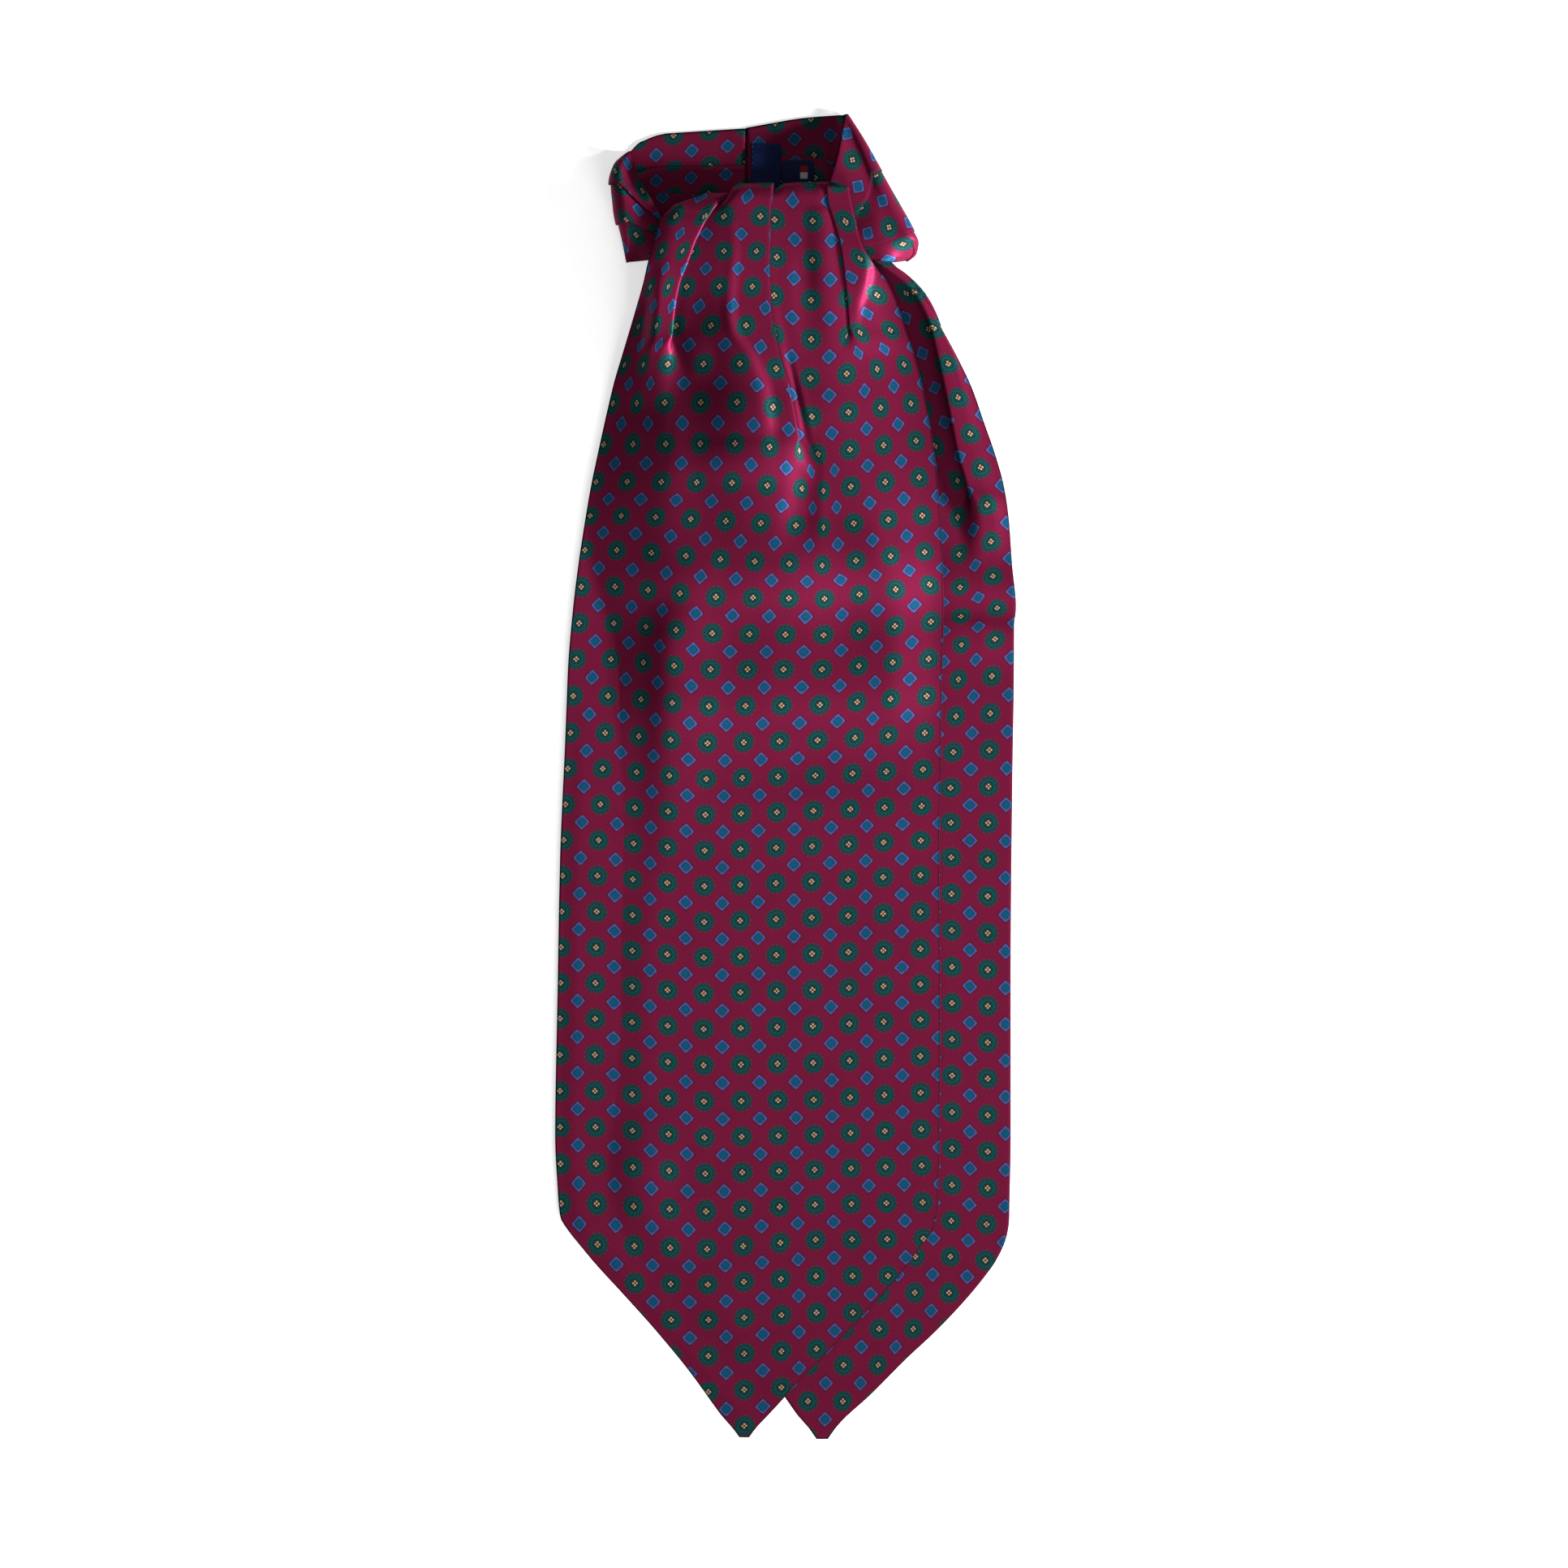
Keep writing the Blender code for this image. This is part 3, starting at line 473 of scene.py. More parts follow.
def point_share(y, left, right):
    """How much narrower the pleats are near a blade's tip."""
    return min(1.0, (right - left) / 300.0) if y > POINTS else 1.0


def new_piece(name, bm, material, hem):
    """A smooth object from a finished bmesh, with how far each point lies from a hem or crease as an
    attribute, which places painted edge shade.
    """
    mesh = bpy.data.meshes.new(name)
    bm.to_mesh(mesh)
    bm.free()
    mesh.materials.append(material)
    mesh.shade_smooth()
    layer = mesh.attributes.new("hem", "FLOAT", "POINT")
    layer.data.foreach_set("value", (np.minimum(hem, EDGE_SHADE_REACH) * 1000).astype(np.float32))
    piece = bpy.data.objects.new(name, mesh)
    bpy.context.scene.collection.objects.link(piece)
    return piece


def mesh_sheet(name, points, prints, material, thickness, soft_edge, crease_shade=None):
    """A closed thin shell from a grid of points, with the print's coordinates as its UV map.

    The wall thins over soft_edge metres towards each hem. The last argument gives metres from a pressed
    edge, where painted shade darkens the silk, and takes the place of the distance from the first row.
    """
    rows, columns = points.shape[:2]
    bm = bmesh.new()
    bmesh.ops.create_grid(bm, x_segments=columns - 1, y_segments=rows - 1, size=1.0)
    bm.verts.ensure_lookup_table()
    places = np.array([(v.co.x, v.co.y) for v in bm.verts])
    i = np.rint((places[:, 0] + 1) / 2 * (columns - 1)).astype(int)
    j = np.rint((places[:, 1] + 1) / 2 * (rows - 1)).astype(int)
    for vert, place in zip(bm.verts, points[j, i]):
        vert.co = place
    layer = bm.loops.layers.uv.new("print")
    uv = prints[j, i]
    for face in bm.faces:
        for loop in face.loops:
            loop[layer].uv = uv[loop.vert.index]
    bm.normal_update()
    if sum(face.normal.z * face.calc_area() for face in bm.faces) < 0:
        bmesh.ops.reverse_faces(bm, faces=bm.faces)
    gaps = [np.linalg.norm(np.diff(points, axis=axis), axis=2) for axis in (0, 1)]
    down = np.vstack([np.zeros((1, columns)), np.cumsum(gaps[0], axis=0)])
    over = np.hstack([np.zeros((rows, 1)), np.cumsum(gaps[1], axis=1)])
    hems = [down[-1:] - down, over, over[:, -1:] - over]
    # Metres from the nearest hem or crease, where painted shade darkens the silk.
    hem = np.minimum.reduce(hems + [down if crease_shade is None else crease_shade])
    piece = new_piece(name, bm, material, hem[j, i])
    # The wall thins in a round towards the hem, so that the pressed edge is round.
    part = np.clip(np.minimum.reduce(hems + [down]) / soft_edge, 0.0, 1.0)
    weight = np.sqrt(np.clip(1 - (1 - part) ** 2, 0.0, 1.0))
    group = piece.vertex_groups.new(name="wall")
    for index, value in enumerate(weight[j, i]):
        group.add([index], float(value), "REPLACE")
    wall = piece.modifiers.new("Wall", "SOLIDIFY")
    wall.thickness, wall.offset = thickness, 0.0
    wall.vertex_group, wall.thickness_vertex_group = "wall", 0.22
    return piece


# Front blade.

PANEL_CELLS, PLEAT_CELLS = 26, 18
# Extra columns close to the hems.
EDGE_MARKS = np.array([0.0, 0.004, 0.010, 0.020])


def panel_marks(near_left=False, near_right=False):
    """Places of a panel's columns, as parts of its width."""
    t = np.linspace(0.0, 1.0, PANEL_CELLS + 1)
    if near_left:
        t = np.concatenate([EDGE_MARKS, t[t > 0.025]])
    if near_right:
        t = np.concatenate([t[t < 0.975], 1 - EDGE_MARKS[::-1]])
    return t


PANELS = (panel_marks(near_left=True), panel_marks(), panel_marks(), panel_marks(near_right=True))
# Places of a pleat's columns, as parts of it: most of them lie on its two turns.
PLEAT_MARKS = np.interp(
    np.linspace(0.0, 1.0, PLEAT_CELLS + 1)[1:-1], (0.0, 0.44, 0.56, 1.0), (0.0, 0.40, 0.50, 1.0))
# Columns where the panels and pleats of a row begin, from the left, and how many columns there are.
FRONT_STARTS = np.cumsum([0] + [len(marks) for panel in PANELS for marks in (panel, PLEAT_MARKS)])[:8]
# How much each column swells over the roll: the panels do, and the pleats don't.
FRONT_SWELL = np.concatenate([
    part for t in PANELS for part in (smooth(t * 5) * (0.7 + 0.3 * t), np.zeros(len(PLEAT_MARKS)))
])[:FRONT_STARTS[7]]
# A pleat at one row: where it begins and ends, how far the cloth to its left and right lies over what
# is below, the cloth it hides, which way it faces, its edge, and the radius of its turns.
Fold = collections.namedtuple("Fold", "start stop drop_left drop_right hidden way edge radius")


def rear_edge(y):
    """Where the rear blade's left hem lies at row y."""
    return float(REAR(y)[0] if y <= POINTS else REAR_POINT(y)[0])


def buried(hidden):
    """Steps that the cloth reaches in under a pleat."""
    full = 2 * math.pi * cloth().fold_radius
    return max(0.5 * (hidden - full), 0.0) / STEP + 7.0 * min(1.0, hidden / full)


def front_folds(y):
    """Hems, height and pleats A, B and C of the front blade at row y, and how narrow they are."""
    left, a, hide_a, b, hide_b, c, hide_c, right, height = FRONT(y)
    if y > POINTS:
        left, right = FRONT_POINT(y)
        a = min(max(rear_edge(y) - 17, left + 0.16 * (right - left)), left + 0.6 * (right - left))
        b, c = a + (right - a) * 0.36, a + (right - a) * 0.70
    narrow = point_share(y, left, right)
    # Pleat A's turns are tighter over the roll.
    radii = cloth().fold_radius * np.array((0.5 + 0.5 * float(smooth((y - 240) / 60)), 0.6, 0.3))
    folds = []
    for edge, hidden, way, radius in zip((a, b, c), (hide_a, hide_b, hide_c), (1, 1, -1), radii):
        hidden *= STEP
        wide, drop = pleat_size(hidden, radius, narrow)
        back = radius / STEP * min(1.0, hidden / (2 * math.pi * radius)) + 0.5 * max(wide, 0.0)
        if way > 0:
            fold = Fold(edge - back, edge - back + wide, drop, 0.0, hidden, way, edge, radius)
        else:
            fold = Fold(edge + back - wide, edge + back, 0.0, drop, hidden, way, edge, radius)
        folds.append(fold)
    return left, right, height * 0.001, folds, narrow


def panel_rise(number, x, start, stop, over, y):
    """Height of a panel over its bed at each x, and where its climb to the next pleat ends."""
    (x0, z0), (x1, z1) = start, stop
    if number == 3:
        first = x0 + min(max(0.33 * (x1 - x0), over), 0.88 * (x1 - x0))
        return z0 + (z1 - z0) * smooth((x - first) / (x1 - first)), x1
    if number == 2:
        return np.full_like(x, z0), x1
    share = 0.67 + 0.18 * float(smooth((y - 400) / 60))
    last = x0 + max(min(share * (x1 - x0), x1 - x0 - over), 0.12 * (x1 - x0))
    return z0 + (z1 - z0) * np.sin(0.5 * math.pi * np.clip((x - x0) / (last - x0), 0, 1)), last


def front_section(y):
    """The front blade at row y: x, height over its bed, x of the bed below, cloth used, and its hems."""
    left, right, height, folds, narrow = front_folds(y)
    full = 2 * math.pi * cloth().fold_radius
    starts = [(left, 0.35 * folds[0].drop_left)] + [(fold.stop, fold.drop_right) for fold in folds]
    stops = [(fold.start, fold.drop_left) for fold in folds] + [(right, 0.55 * folds[2].drop_right)]
    used = CLOTH_AT(y)
    parts = []
    for number, t in enumerate(PANELS):
        (x0, _), (x1, z1) = starts[number], stops[number]
        x = x0 + (x1 - x0) * t
        over = buried(folds[min(number, 2)].hidden)
        rise, last = panel_rise(number, x, starts[number], stops[number], over, y)
        # Beside a firm pleat the bed is read at the pleat's edge, so that both layers keep their gap.
        hold = x.copy()
        if number < 2:
            fold = folds[number]
            hold += (fold.edge - x) * min(1.0, fold.hidden / full) * smooth((x - last + 20) / 20)
        if number > 0:
            fold = folds[number - 1]
            reach = over if number == 3 else 2.0
            hold += (fold.edge - x) * min(1.0, fold.hidden / full) * (1 - smooth((x - x0 - reach) / 12))
        first_u = used[0] if number == 0 else used[2 * number] + x0 - folds[number - 1].edge
        last_u = used[7] if number == 3 else used[2 * number + 1] - folds[number].edge + x1
        parts.append(np.stack([x, rise, hold, first_u + (last_u - first_u) * t]))
        if number == 3:
            break
        fold = folds[number]
        next_u = used[2 * number + 2] + starts[number + 1][0] - fold.edge
        marks = PLEAT_MARKS if fold.way > 0 else 1 - PLEAT_MARKS
        dx, dz = pleat(marks, fold.hidden, fold.radius)
        from_x, from_z = (x1, z1) if fold.way > 0 else starts[number + 1]
        x = from_x + fold.way * dx / STEP * narrow
        hold = x + (fold.edge - x) * min(1.0, fold.hidden / full)
        parts.append(np.stack([x, from_z + dz, hold, last_u + (next_u - last_u) * PLEAT_MARKS]))
    x, rise, hold, u = np.concatenate(parts, axis=1)
    if y > FLAT_PRINT:
        columns = COLUMNS_AT(y)
        at = FIRST_COLUMN + REPEAT * np.arange(11)
        xs = np.concatenate([[columns[0] - FIRST_COLUMN - 40], columns, [columns[-1] + 60]])
        flat_u = np.interp(x, xs, np.concatenate([[-40], at, [at[-1] + 60]]))
        u = u + (flat_u - u) * float(smooth((y - FLAT_PRINT) / 50))
    return x, rise, hold, u, left, right, height


def ramp(t, first=0.3, last=0.3):
    """0 to 1 on a straight slope with soft ends."""
    t = np.clip(t, 0.0, 1.0)
    slope = 1 / (1 - (first + last) / 2)
    return np.where(t < first, slope * t * t / (2 * first), np.where(
        t > 1 - last, 1 - slope * (1 - t) ** 2 / (2 * last), slope * (t - first / 2)))


def front_bed(x, y, left, right, height):
    """Height of the front blade's lowest layer: its hump, and at least the rear blade's top."""
    rest, rear_cloth = 0.0005, 0.00075
    foot, crest, fall, low = FRONT_SHAPE(y)
    shift = rear_edge(y) - rear_edge(POINTS) if y > POINTS else 0.0
    # The left slope has a knee, and is steeper below it.
    t = (x - foot - shift) / (crest - foot)
    knee = min(max((838 - foot) / (crest - foot), 0.3), 0.8)
    upper = (0.30 - 0.10 * float(smooth((y - 480) / 90))) / (1 - knee)
    slope = upper * ramp(t, 0.1, 0.3) + (1 - upper) * ramp(t / knee, 0.1, 0.25)
    rise = 1 - smooth((y - 318) / 90) * (1 - slope)
    edge_lift = 0.0005 * smooth((x - left) / 26) * float(smooth((y - 820) / 160))
    bed = rest + (height - rest) * rise + edge_lift
    bed = bed - max(height - 0.001 * low, 0.0) * ramp((x - fall) / (right - fall))
    floor = rest + rear_cloth * smooth((x - rear_edge(y) + 38) / 42) * smooth((y - 400) / 100)
    return np.maximum(bed, floor)


def bump(t):
    """A soft hill, 1 at 0 and 0 from 1 on either side."""
    return np.where(np.abs(t) < 1, (1 - np.minimum(t * t, 1.0)) ** 2, 0.0)


def down_folds(folds, x, y):
    """Height that the folds running down a blade add at row y, at each x."""
    added = np.zeros_like(x)
    for fold in folds:
        data = np.array(fold)
        if not data[0, 0] < y < data[-1, 0]:
            continue
        at, height, left, right = (np.interp(y, data[:, 0], data[:, n]) for n in range(1, 5))
        near = float(smooth((y - data[0, 0]) / 12) * smooth((data[-1, 0] - y) / 12))
        added = added + height * near * bump((x - at) / np.where(x < at, left, right))
    return added * 0.001


def across_folds(folds, x, y):
    """Height that the folds running across a blade add at row y, at each x."""
    added = np.zeros_like(x)
    for fold in folds:
        data = np.array(fold)
        at, height, above, below = (np.interp(x, data[:, 0], data[:, n]) for n in range(1, 5))
        ends = smooth((x - data[0, 0] + 30) / 30) * smooth((data[-1, 0] + 40 - x) / 30)
        added = added + height * ends * bump((y - at) / np.where(y < at, above, below))
    return added * 0.001


def print_rows(u, y):
    """The print's row at each place of the front blade, from how much cloth lies left of it and y."""
    column = (u - FIRST_COLUMN) / REPEAT
    lines = np.array(FRONT_LINES)
    # The rows bow down a little at the left hem, below the pleats.
    bow = 13 * smooth((y - 560) / 140) * (1 - smooth((y - 1400) / 250))
    at = [np.interp(y + bow, lines[:, 1], lines[:, 0])]
    at += [np.interp(y, lines[:, n], lines[:, 0]) for n in (1, 2, 3)]
    above = np.maximum(lines[0, 2] - y, 0) / ROLL_REPEAT
    return np.interp(column, (1, 4, 7, 10), at) - above


def rolled_row(v, x, rise, hold, bed, left):
    """Row v of the roll over the knot: y, height, and the cloth from there to the roll's front."""
    settings = cloth()
    number = np.arange(len(x))
    # Right of pleat C the cloth runs on flat and ends lower.
    margin = number >= FRONT_STARTS[5]
    turn = np.where(margin, math.radians(9), math.radians(112))
    near = np.clip((x - left) / 32.0, 0.0, 1.0)
    radius = np.where(margin, 0.0016, 0.0007 + (settings.roll_radius - 0.0007) * near)
    tighter = smooth((x - 1000) / 18) * (number < FRONT_STARTS[5]) * (number >= FRONT_STARTS[4])
    radius = radius - 0.0015 * tighter
    top = np.where(margin, 232 + 24 * smooth((hold - 1022) / 27), np.interp(hold, *ROLL_TOP))
    reach = np.where(margin, radius * np.sin(turn), radius + settings.roll_swell + 0.0005)
    bulge = np.where(margin, 0.0, np.clip(settings.roll_swell - rise, 0, None) * FRONT_SWELL)
    start = along(ROLL_FRONT)
    axis = np.maximum(along(top) - reach, start)
    run = axis - start
    d = (ROLL_FRONT - v) / (ROLL_FRONT - ROLL_BACK) * (run + radius * turn)
    angle = np.maximum(d - run, 0.0) / radius
    straight = d < run
    y = np.where(straight, start + d, axis + (radius + rise + bulge) * np.sin(angle))
    z = np.where(straight, bed + rise, bed - radius + (radius + rise) * np.cos(angle))
    return y, z, np.where(straight, d, run + (radius + rise) * angle)


def front_points():
    """The front blade's middle surface, from the back of the roll to the tip, and its print."""
    rolled = np.linspace(ROLL_BACK, ROLL_FRONT, 30)
    flat = ROLL_FRONT + (FRONT_END - ROLL_FRONT) * np.linspace(0.0, 1.0, cloth().rows)[1:] ** 1.12
    rows = np.concatenate([rolled, flat[:-1], FRONT_END - np.array([1.2, 0.5, 0.0])])
    grid, prints = [], []
    for v in rows:
        row = v if v >= ROLL_FRONT else max(ROLL_FRONT - 0.8 * (ROLL_FRONT - v), FRONT.at[0])
        x, rise, hold, u, left, right, height = front_section(row)
        bed = front_bed(hold, row, left, right, height)
        bed = bed + down_folds(FRONT_DOWN, hold, row) + across_folds(FRONT_ACROSS, hold, row)
        if v >= ROLL_FRONT:
            y, z, line = np.full_like(x, along(v)), bed + rise, print_rows(u, v)
        else:
            y, z, used = rolled_row(v, x, rise, hold, bed, left)
            line = print_rows(u, float(ROLL_FRONT)) - used / STEP / ROLL_REPEAT
        grid.append(np.stack([across(x), y, z], axis=1))
        prints.append(np.stack([(u - FIRST_COLUMN) / REPEAT, -line], axis=1))
    return np.array(grid), np.array(prints)


def front_crease_shade(points):
    """Distance from pleat B's edge, which is pressed down to where the pleat opens, for painted shade
    along that edge.
    """
    far = np.full(points.shape[:2], EDGE_SHADE_REACH)
    edge = slice(FRONT_STARTS[3], FRONT_STARTS[3] + 7)
    opening = smooth((along(460) - points[:, edge, 1]) / (90 * STEP))
    far[:, edge] = 0.0003 + 0.0037 * opening
    return far


# Rear blade.

# Places of the columns of its main panel and of its margin, as parts of their width.
REAR_PANEL, REAR_MARGIN = np.linspace(0, 1, 31), np.linspace(0, 1, 25)


def rear_points():
    """The rear blade's middle surface, from under the knot to its tip, and its print."""
    radius = cloth().fold_radius
    full = 2 * math.pi * radius
    rows = REAR_TOP + (REAR_END - REAR_TOP) * np.linspace(0.0, 1.0, cloth().rows) ** 1.1
    rows = np.concatenate([rows[:-1], REAR_END - np.array([1.2, 0.5, 0.0])])
    lines = np.array(REAR_LINES)
    grid, prints = [], []
    for y in rows:
        left, edge, hidden, right, height = REAR(y)
        if y > POINTS:
            share = (edge - left) / (right - left)
            left, right = REAR_POINT(y)
            edge = left + (right - left) * share
        narrow = point_share(y, left, right)
        hidden *= STEP
        wide, drop = pleat_size(hidden, radius, narrow)
        outer = edge + radius / STEP * min(1.0, hidden / full) + 0.5 * max(wide, 0.0)
        # The main panel, the pleat, and the margin right of it.
        x1 = left + (outer - wide - left) * REAR_PANEL
        dx, dz = pleat(1 - PLEAT_MARKS, hidden, radius)
        # Under the knot the pleat's edge leans, and the cloth folds square to it.
        lean = float(REAR(y + 4)[1] - REAR(y - 4)[1]) / 8 * float(smooth((430 - y) / 60))
        square = math.hypot(1.0, lean)
        x2 = outer - dx / STEP * narrow / square
        y2 = y + dx / STEP * narrow * lean / square
        right = max(right, outer + 5)
        x3 = outer + (right - outer) * REAR_MARGIN
        reach = min(max(buried(hidden), 0.35 * (right - outer)), 0.8 * (right - outer))
        z3 = drop * (1 - smooth((x3 - outer - reach) / (right - outer - reach + 1e-6)) * 0.3)
        lift = 0.001 * float(np.interp(y, *REAR_LIFT))
        z2 = drop + dz + lift * smooth(PLEAT_MARKS * 1.05)
        z3 = z3 + lift * (1 - 0.36 * ramp((x3 - outer) / (right - outer), 0.35, 0.1))
        x = np.concatenate([x1, x2, x3])
        z = np.concatenate([np.zeros_like(x1), z2, z3]) + 0.001 * height
        z = z + across_folds(REAR_ACROSS, x, y)
        ys = np.concatenate([np.full_like(x1, y), y2, np.full_like(x3, y)])
        grid.append(np.stack([across(x), along(ys), z], axis=1))
        # The print's outer column is number 10, and the next one number 9.
        outer_x, inner_x = np.interp(y, lines[:, 1], lines[:, 2]), np.interp(y, lines[:, 3], lines[:, 4])
        pitch = max(outer_x - inner_x, 36.0) if y > 560 else 42.0
        k3 = 10 + (x3 - outer_x) / 44.0
        k1 = 9 + (x1 - inner_x) / pitch
        k2 = np.interp(PLEAT_MARKS, (0, 1), (k1[-1], k3[0]))
        k = np.concatenate([k1, k2, k3])
        v = [np.interp(y, lines[:, 3], lines[:, 0]), np.interp(y, lines[:, 1], lines[:, 0])]
        prints.append(np.stack([k, -np.interp(k, (9, 10), v)], axis=1))
    return np.array(grid), np.array(prints)


# Neckband.

# Places of a panel's columns, as parts of its width.
BAND_PANEL = np.linspace(0.0, 1.0, 15)
# Places of the rows: 0 at the centre back or knot, 1 where the side turn begins, 2 half way round it.
BAND_RUN = np.concatenate([np.linspace(0.0, 1.0, 27)[:-1], np.linspace(1.0, 2.0, 19)])


def band_stations():
    """Across the neckband: place, distance out from the innermost layer, slip along it, and panel."""
    settings = cloth()
    layer, radius = settings.band_layer, settings.band_fold
    out, last = [], 0.0
    for number, at in enumerate(BAND_PLEATS):
        start = layer if number == 0 else 0.0
        for t in BAND_PANEL:
            rise = start + (layer - start) * float(smooth(t * 1.3))
            out.append((last + (at - last) * t, rise, 0.0, number))
        dx, dz = pleat(PLEAT_MARKS, settings.band_hidden, radius)
        for t, x, z in zip(PLEAT_MARKS, dx, dz):
            panel = number if t < 0.45 else number + 1
            out.append((at, layer + z, x - radius * float(smooth(t * 4)), panel))
        last = at
    for t in BAND_PANEL:
        slip = -radius * (1 - float(smooth(t * 6)))
        out.append((last + (1.0 - last) * t, 0.5 * layer * float(smooth(t)), slip, len(BAND_PLEATS)))
    return out


def band_course(table, w, side):
    """Which way the neckband lies at place w across it, and which way its side turn faces."""
    before, after = table(w - 0.08), table(w + 0.08)
    lie = np.array((after[0] - before[0], before[1] - after[1]))
    lie /= np.linalg.norm(lie)
    outward = np.array((-lie[1], lie[0])) * (1 if -lie[1] * side > 0 else -1)
    rim = 0.12
    if w < rim:
        # The upper rim's turn faces along the back.
        ahead = np.array((0.995, 0.1) if side > 0 else (-0.9, -0.44))
        outward = outward * (w / rim) + ahead * (1 - w / rim)
        outward /= np.linalg.norm(outward)
    return lie, outward


def band_points(name, side, front):
    """A stretch's middle surface from the centre back or the knot to its side turn, and its print."""
    settings = cloth()
    table = LEFT_SIDE if side < 0 else RIGHT_SIDE
    stations = band_stations()
    # At the right turn the pleats are pressed almost flush, and at the back they lie flatter.
    flush = 0.62 if side > 0 else 0.0
    quiet = 0.0 if front else 0.5
    thick, inside = settings.band_layer * (1 - flush), 0.5 * settings.band_cloth
    quarter = 0.5 * math.pi - 0.0001 / (0.28 * settings.turn_radius)
    grid = np.zeros((len(BAND_RUN), len(stations), 3))
    prints = np.zeros((len(BAND_RUN), len(stations), 2))
    for column, (w, out, slip, panel) in enumerate(stations):
        row = table(w)
        lie, outward = band_course(table, w, side)
        turn = np.array((across(row[0]), along(row[1])))
        # The turn is pinched at the two rims.
        pinch = 0.72 * (1 - float(smooth(w / 0.45))) + 0.9 * float(smooth((w - 0.66) / 0.34))
        axis = turn - outward * (settings.turn_radius * (1 - pinch) + thick + inside)
        at = 6 if front else 2
        half = np.array((across(row[at]), along(row[at + 1])))
        end = np.array((across(row[at + 2]), along(row[at + 3])))
        first, second = np.linalg.norm(half - end), np.linalg.norm(axis - half)
        mid = first / (first + second)
        x0, y0, ax, ay, bx, by = BAND_PRINT[name][panel]
        lattice = np.linalg.inv(np.array(((ax, bx), (ay, by))))
        for line, q in enumerate(BAND_RUN):
            t = min(q, 1.0)
            # The path from end over half to axis, with its corner rounded.
            soft = min(0.16, t, 1 - t)
            base = np.zeros(2)
            for u in (t - soft, t - 0.5 * soft, t, t + 0.5 * soft, t + soft):
                base += (end + (half - end) * u / mid if u < mid
                         else half + (axis - half) * (u - mid) / (1 - mid)) / 5
            angle = max(q - 1, 0.0) * quarter
            bend = settings.turn_radius * (1 - pinch * float(smooth((t - 0.25) / 0.75)))
            near = float(smooth((t - 0.45) / 0.5))
            share = (1 - flush * near) * (1 - quiet * (1 - near))
            reach = bend + out * share
            plan = base + outward * reach * math.sin(angle) + lie * slip
            lift = reach * math.cos(angle)
            middle = 0.0003 + settings.band_layer * share + bend
            z = middle + lift - 0.0006 * float(smooth(1 - t)) if front else middle - lift
            if not front and side < 0:
                # At the centre back it runs under the right stretch.
                z = max(z - 0.0005 * float(smooth(1 - t * 18)), 0.00005)
            grid[line, column] = (plan[0], plan[1], z)
            flat = base + outward * reach * angle + lie * slip
            steps = np.array((flat[0] / STEP + MIDDLE[0] - x0, MIDDLE[1] - flat[1] / STEP - y0))
            prints[line, column] = lattice @ steps
    return grid, prints


def band_crease_shade(points, front):
    """Distance from the end of a stretch, and on the front ones from the pleat edges, for painted shade
    along them.
    """
    far = np.linalg.norm(points - points[:1], axis=2)
    if front:
        for number in range(len(BAND_PLEATS)):
            edge = number * (len(BAND_PANEL) + len(PLEAT_MARKS)) + len(BAND_PANEL) - 1
            far[:, edge:edge + 8] = 0.0004
    return far


# Labels: left, right, upper and lower edge in steps. Their lower edges run under the front blade.
LABELS = {"label_main": (925.7, 962.2, 177.5, 230), "label_care": (963.6, 1003, 198, 229)}
# The coloured mark on the small label: left, right, upper and lower edge, and colour.
LABEL_MARKS = (
    (986, 995, 204.5, 212.5, (0.28, 0.012, 0.018)),
    (986, 995, 212.8, 220.5, (0.55, 0.56, 0.58)),
)
LABEL_COLOURS = {"label_main": (0.004, 0.012, 0.070), "label_care": (0.005, 0.012, 0.060)}
# Seams that hold the labels: label, and from and to as parts of its width and height.
LABEL_SEAMS = (
    ("label_main", 0.05, 0.035, 0.95, 0.035), ("label_care", 0.04, 0.06, 0.96, 0.06),
    ("label_main", 0.04, 0.06, 0.04, 0.96), ("label_care", 0.97, 0.10, 0.97, 0.96),
)
# Points along each seam's line, and the thickness of its thread.
SEAM_POINTS, THREAD = 13, 0.00022


def label_points(name):
    """A label's middle surface, made from the panel of the neckband below it and moved out."""
    layer = 0.5 * cloth().band_layer
    x0, x1, y0, y1 = LABELS[name]
    w_list = np.linspace(0.0, 1.0, 61)
    rows = np.array([RIGHT_SIDE(w) for w in w_list])
    grid = np.zeros((41, 31, 3))
    for j, y in enumerate(np.linspace(y0, y1, grid.shape[0])):
        for i, x in enumerate(np.linspace(x0, x1, grid.shape[1])):
            t = (x - rows[:, 4]) / (rows[:, 2] - rows[:, 4])
            w = float(np.interp(y, rows[:, 5] + (rows[:, 3] - rows[:, 5]) * t, w_list))
            step = layer * float(smooth((w - 0.21) / 0.07))
            fall = layer * float(smooth((w - 0.33) / 0.34))
            wave = 0.00012 * math.sin(2.1 * (x - x0) / 9.0 + 0.7) * float(smooth((y - y0) / 12))
            grid[j, i] = (across(x), along(y), 0.0010 + step - fall + wave)
    return grid


def seam_lines(name, seams):
    """An object of bare edges: a line along each seam, on top of its label."""
    verts, edges = [], []
    for label, u0, v0, u1, v1 in seams:
        grid = label_points(label)
        rows, columns = grid.shape[0] - 1, grid.shape[1] - 1
        last = SEAM_POINTS - 1
        for n in range(SEAM_POINTS):
            column, row = (u0 + (u1 - u0) * n / last) * columns, (v0 + (v1 - v0) * n / last) * rows
            x, y, z = grid[round(row), round(column)]
            x += (column - round(column)) * (grid[0, 1, 0] - grid[0, 0, 0])
            y += (row - round(row)) * (grid[1, 0, 1] - grid[0, 0, 1])
            if n:
                edges.append((len(verts) - 1, len(verts)))
            verts.append((x, y, z + THREAD))
    mesh = bpy.data.meshes.new(name)
    mesh.from_pydata(verts, edges, [])
    lines = bpy.data.objects.new(name, mesh)
    bpy.context.scene.collection.objects.link(lines)
    return lines


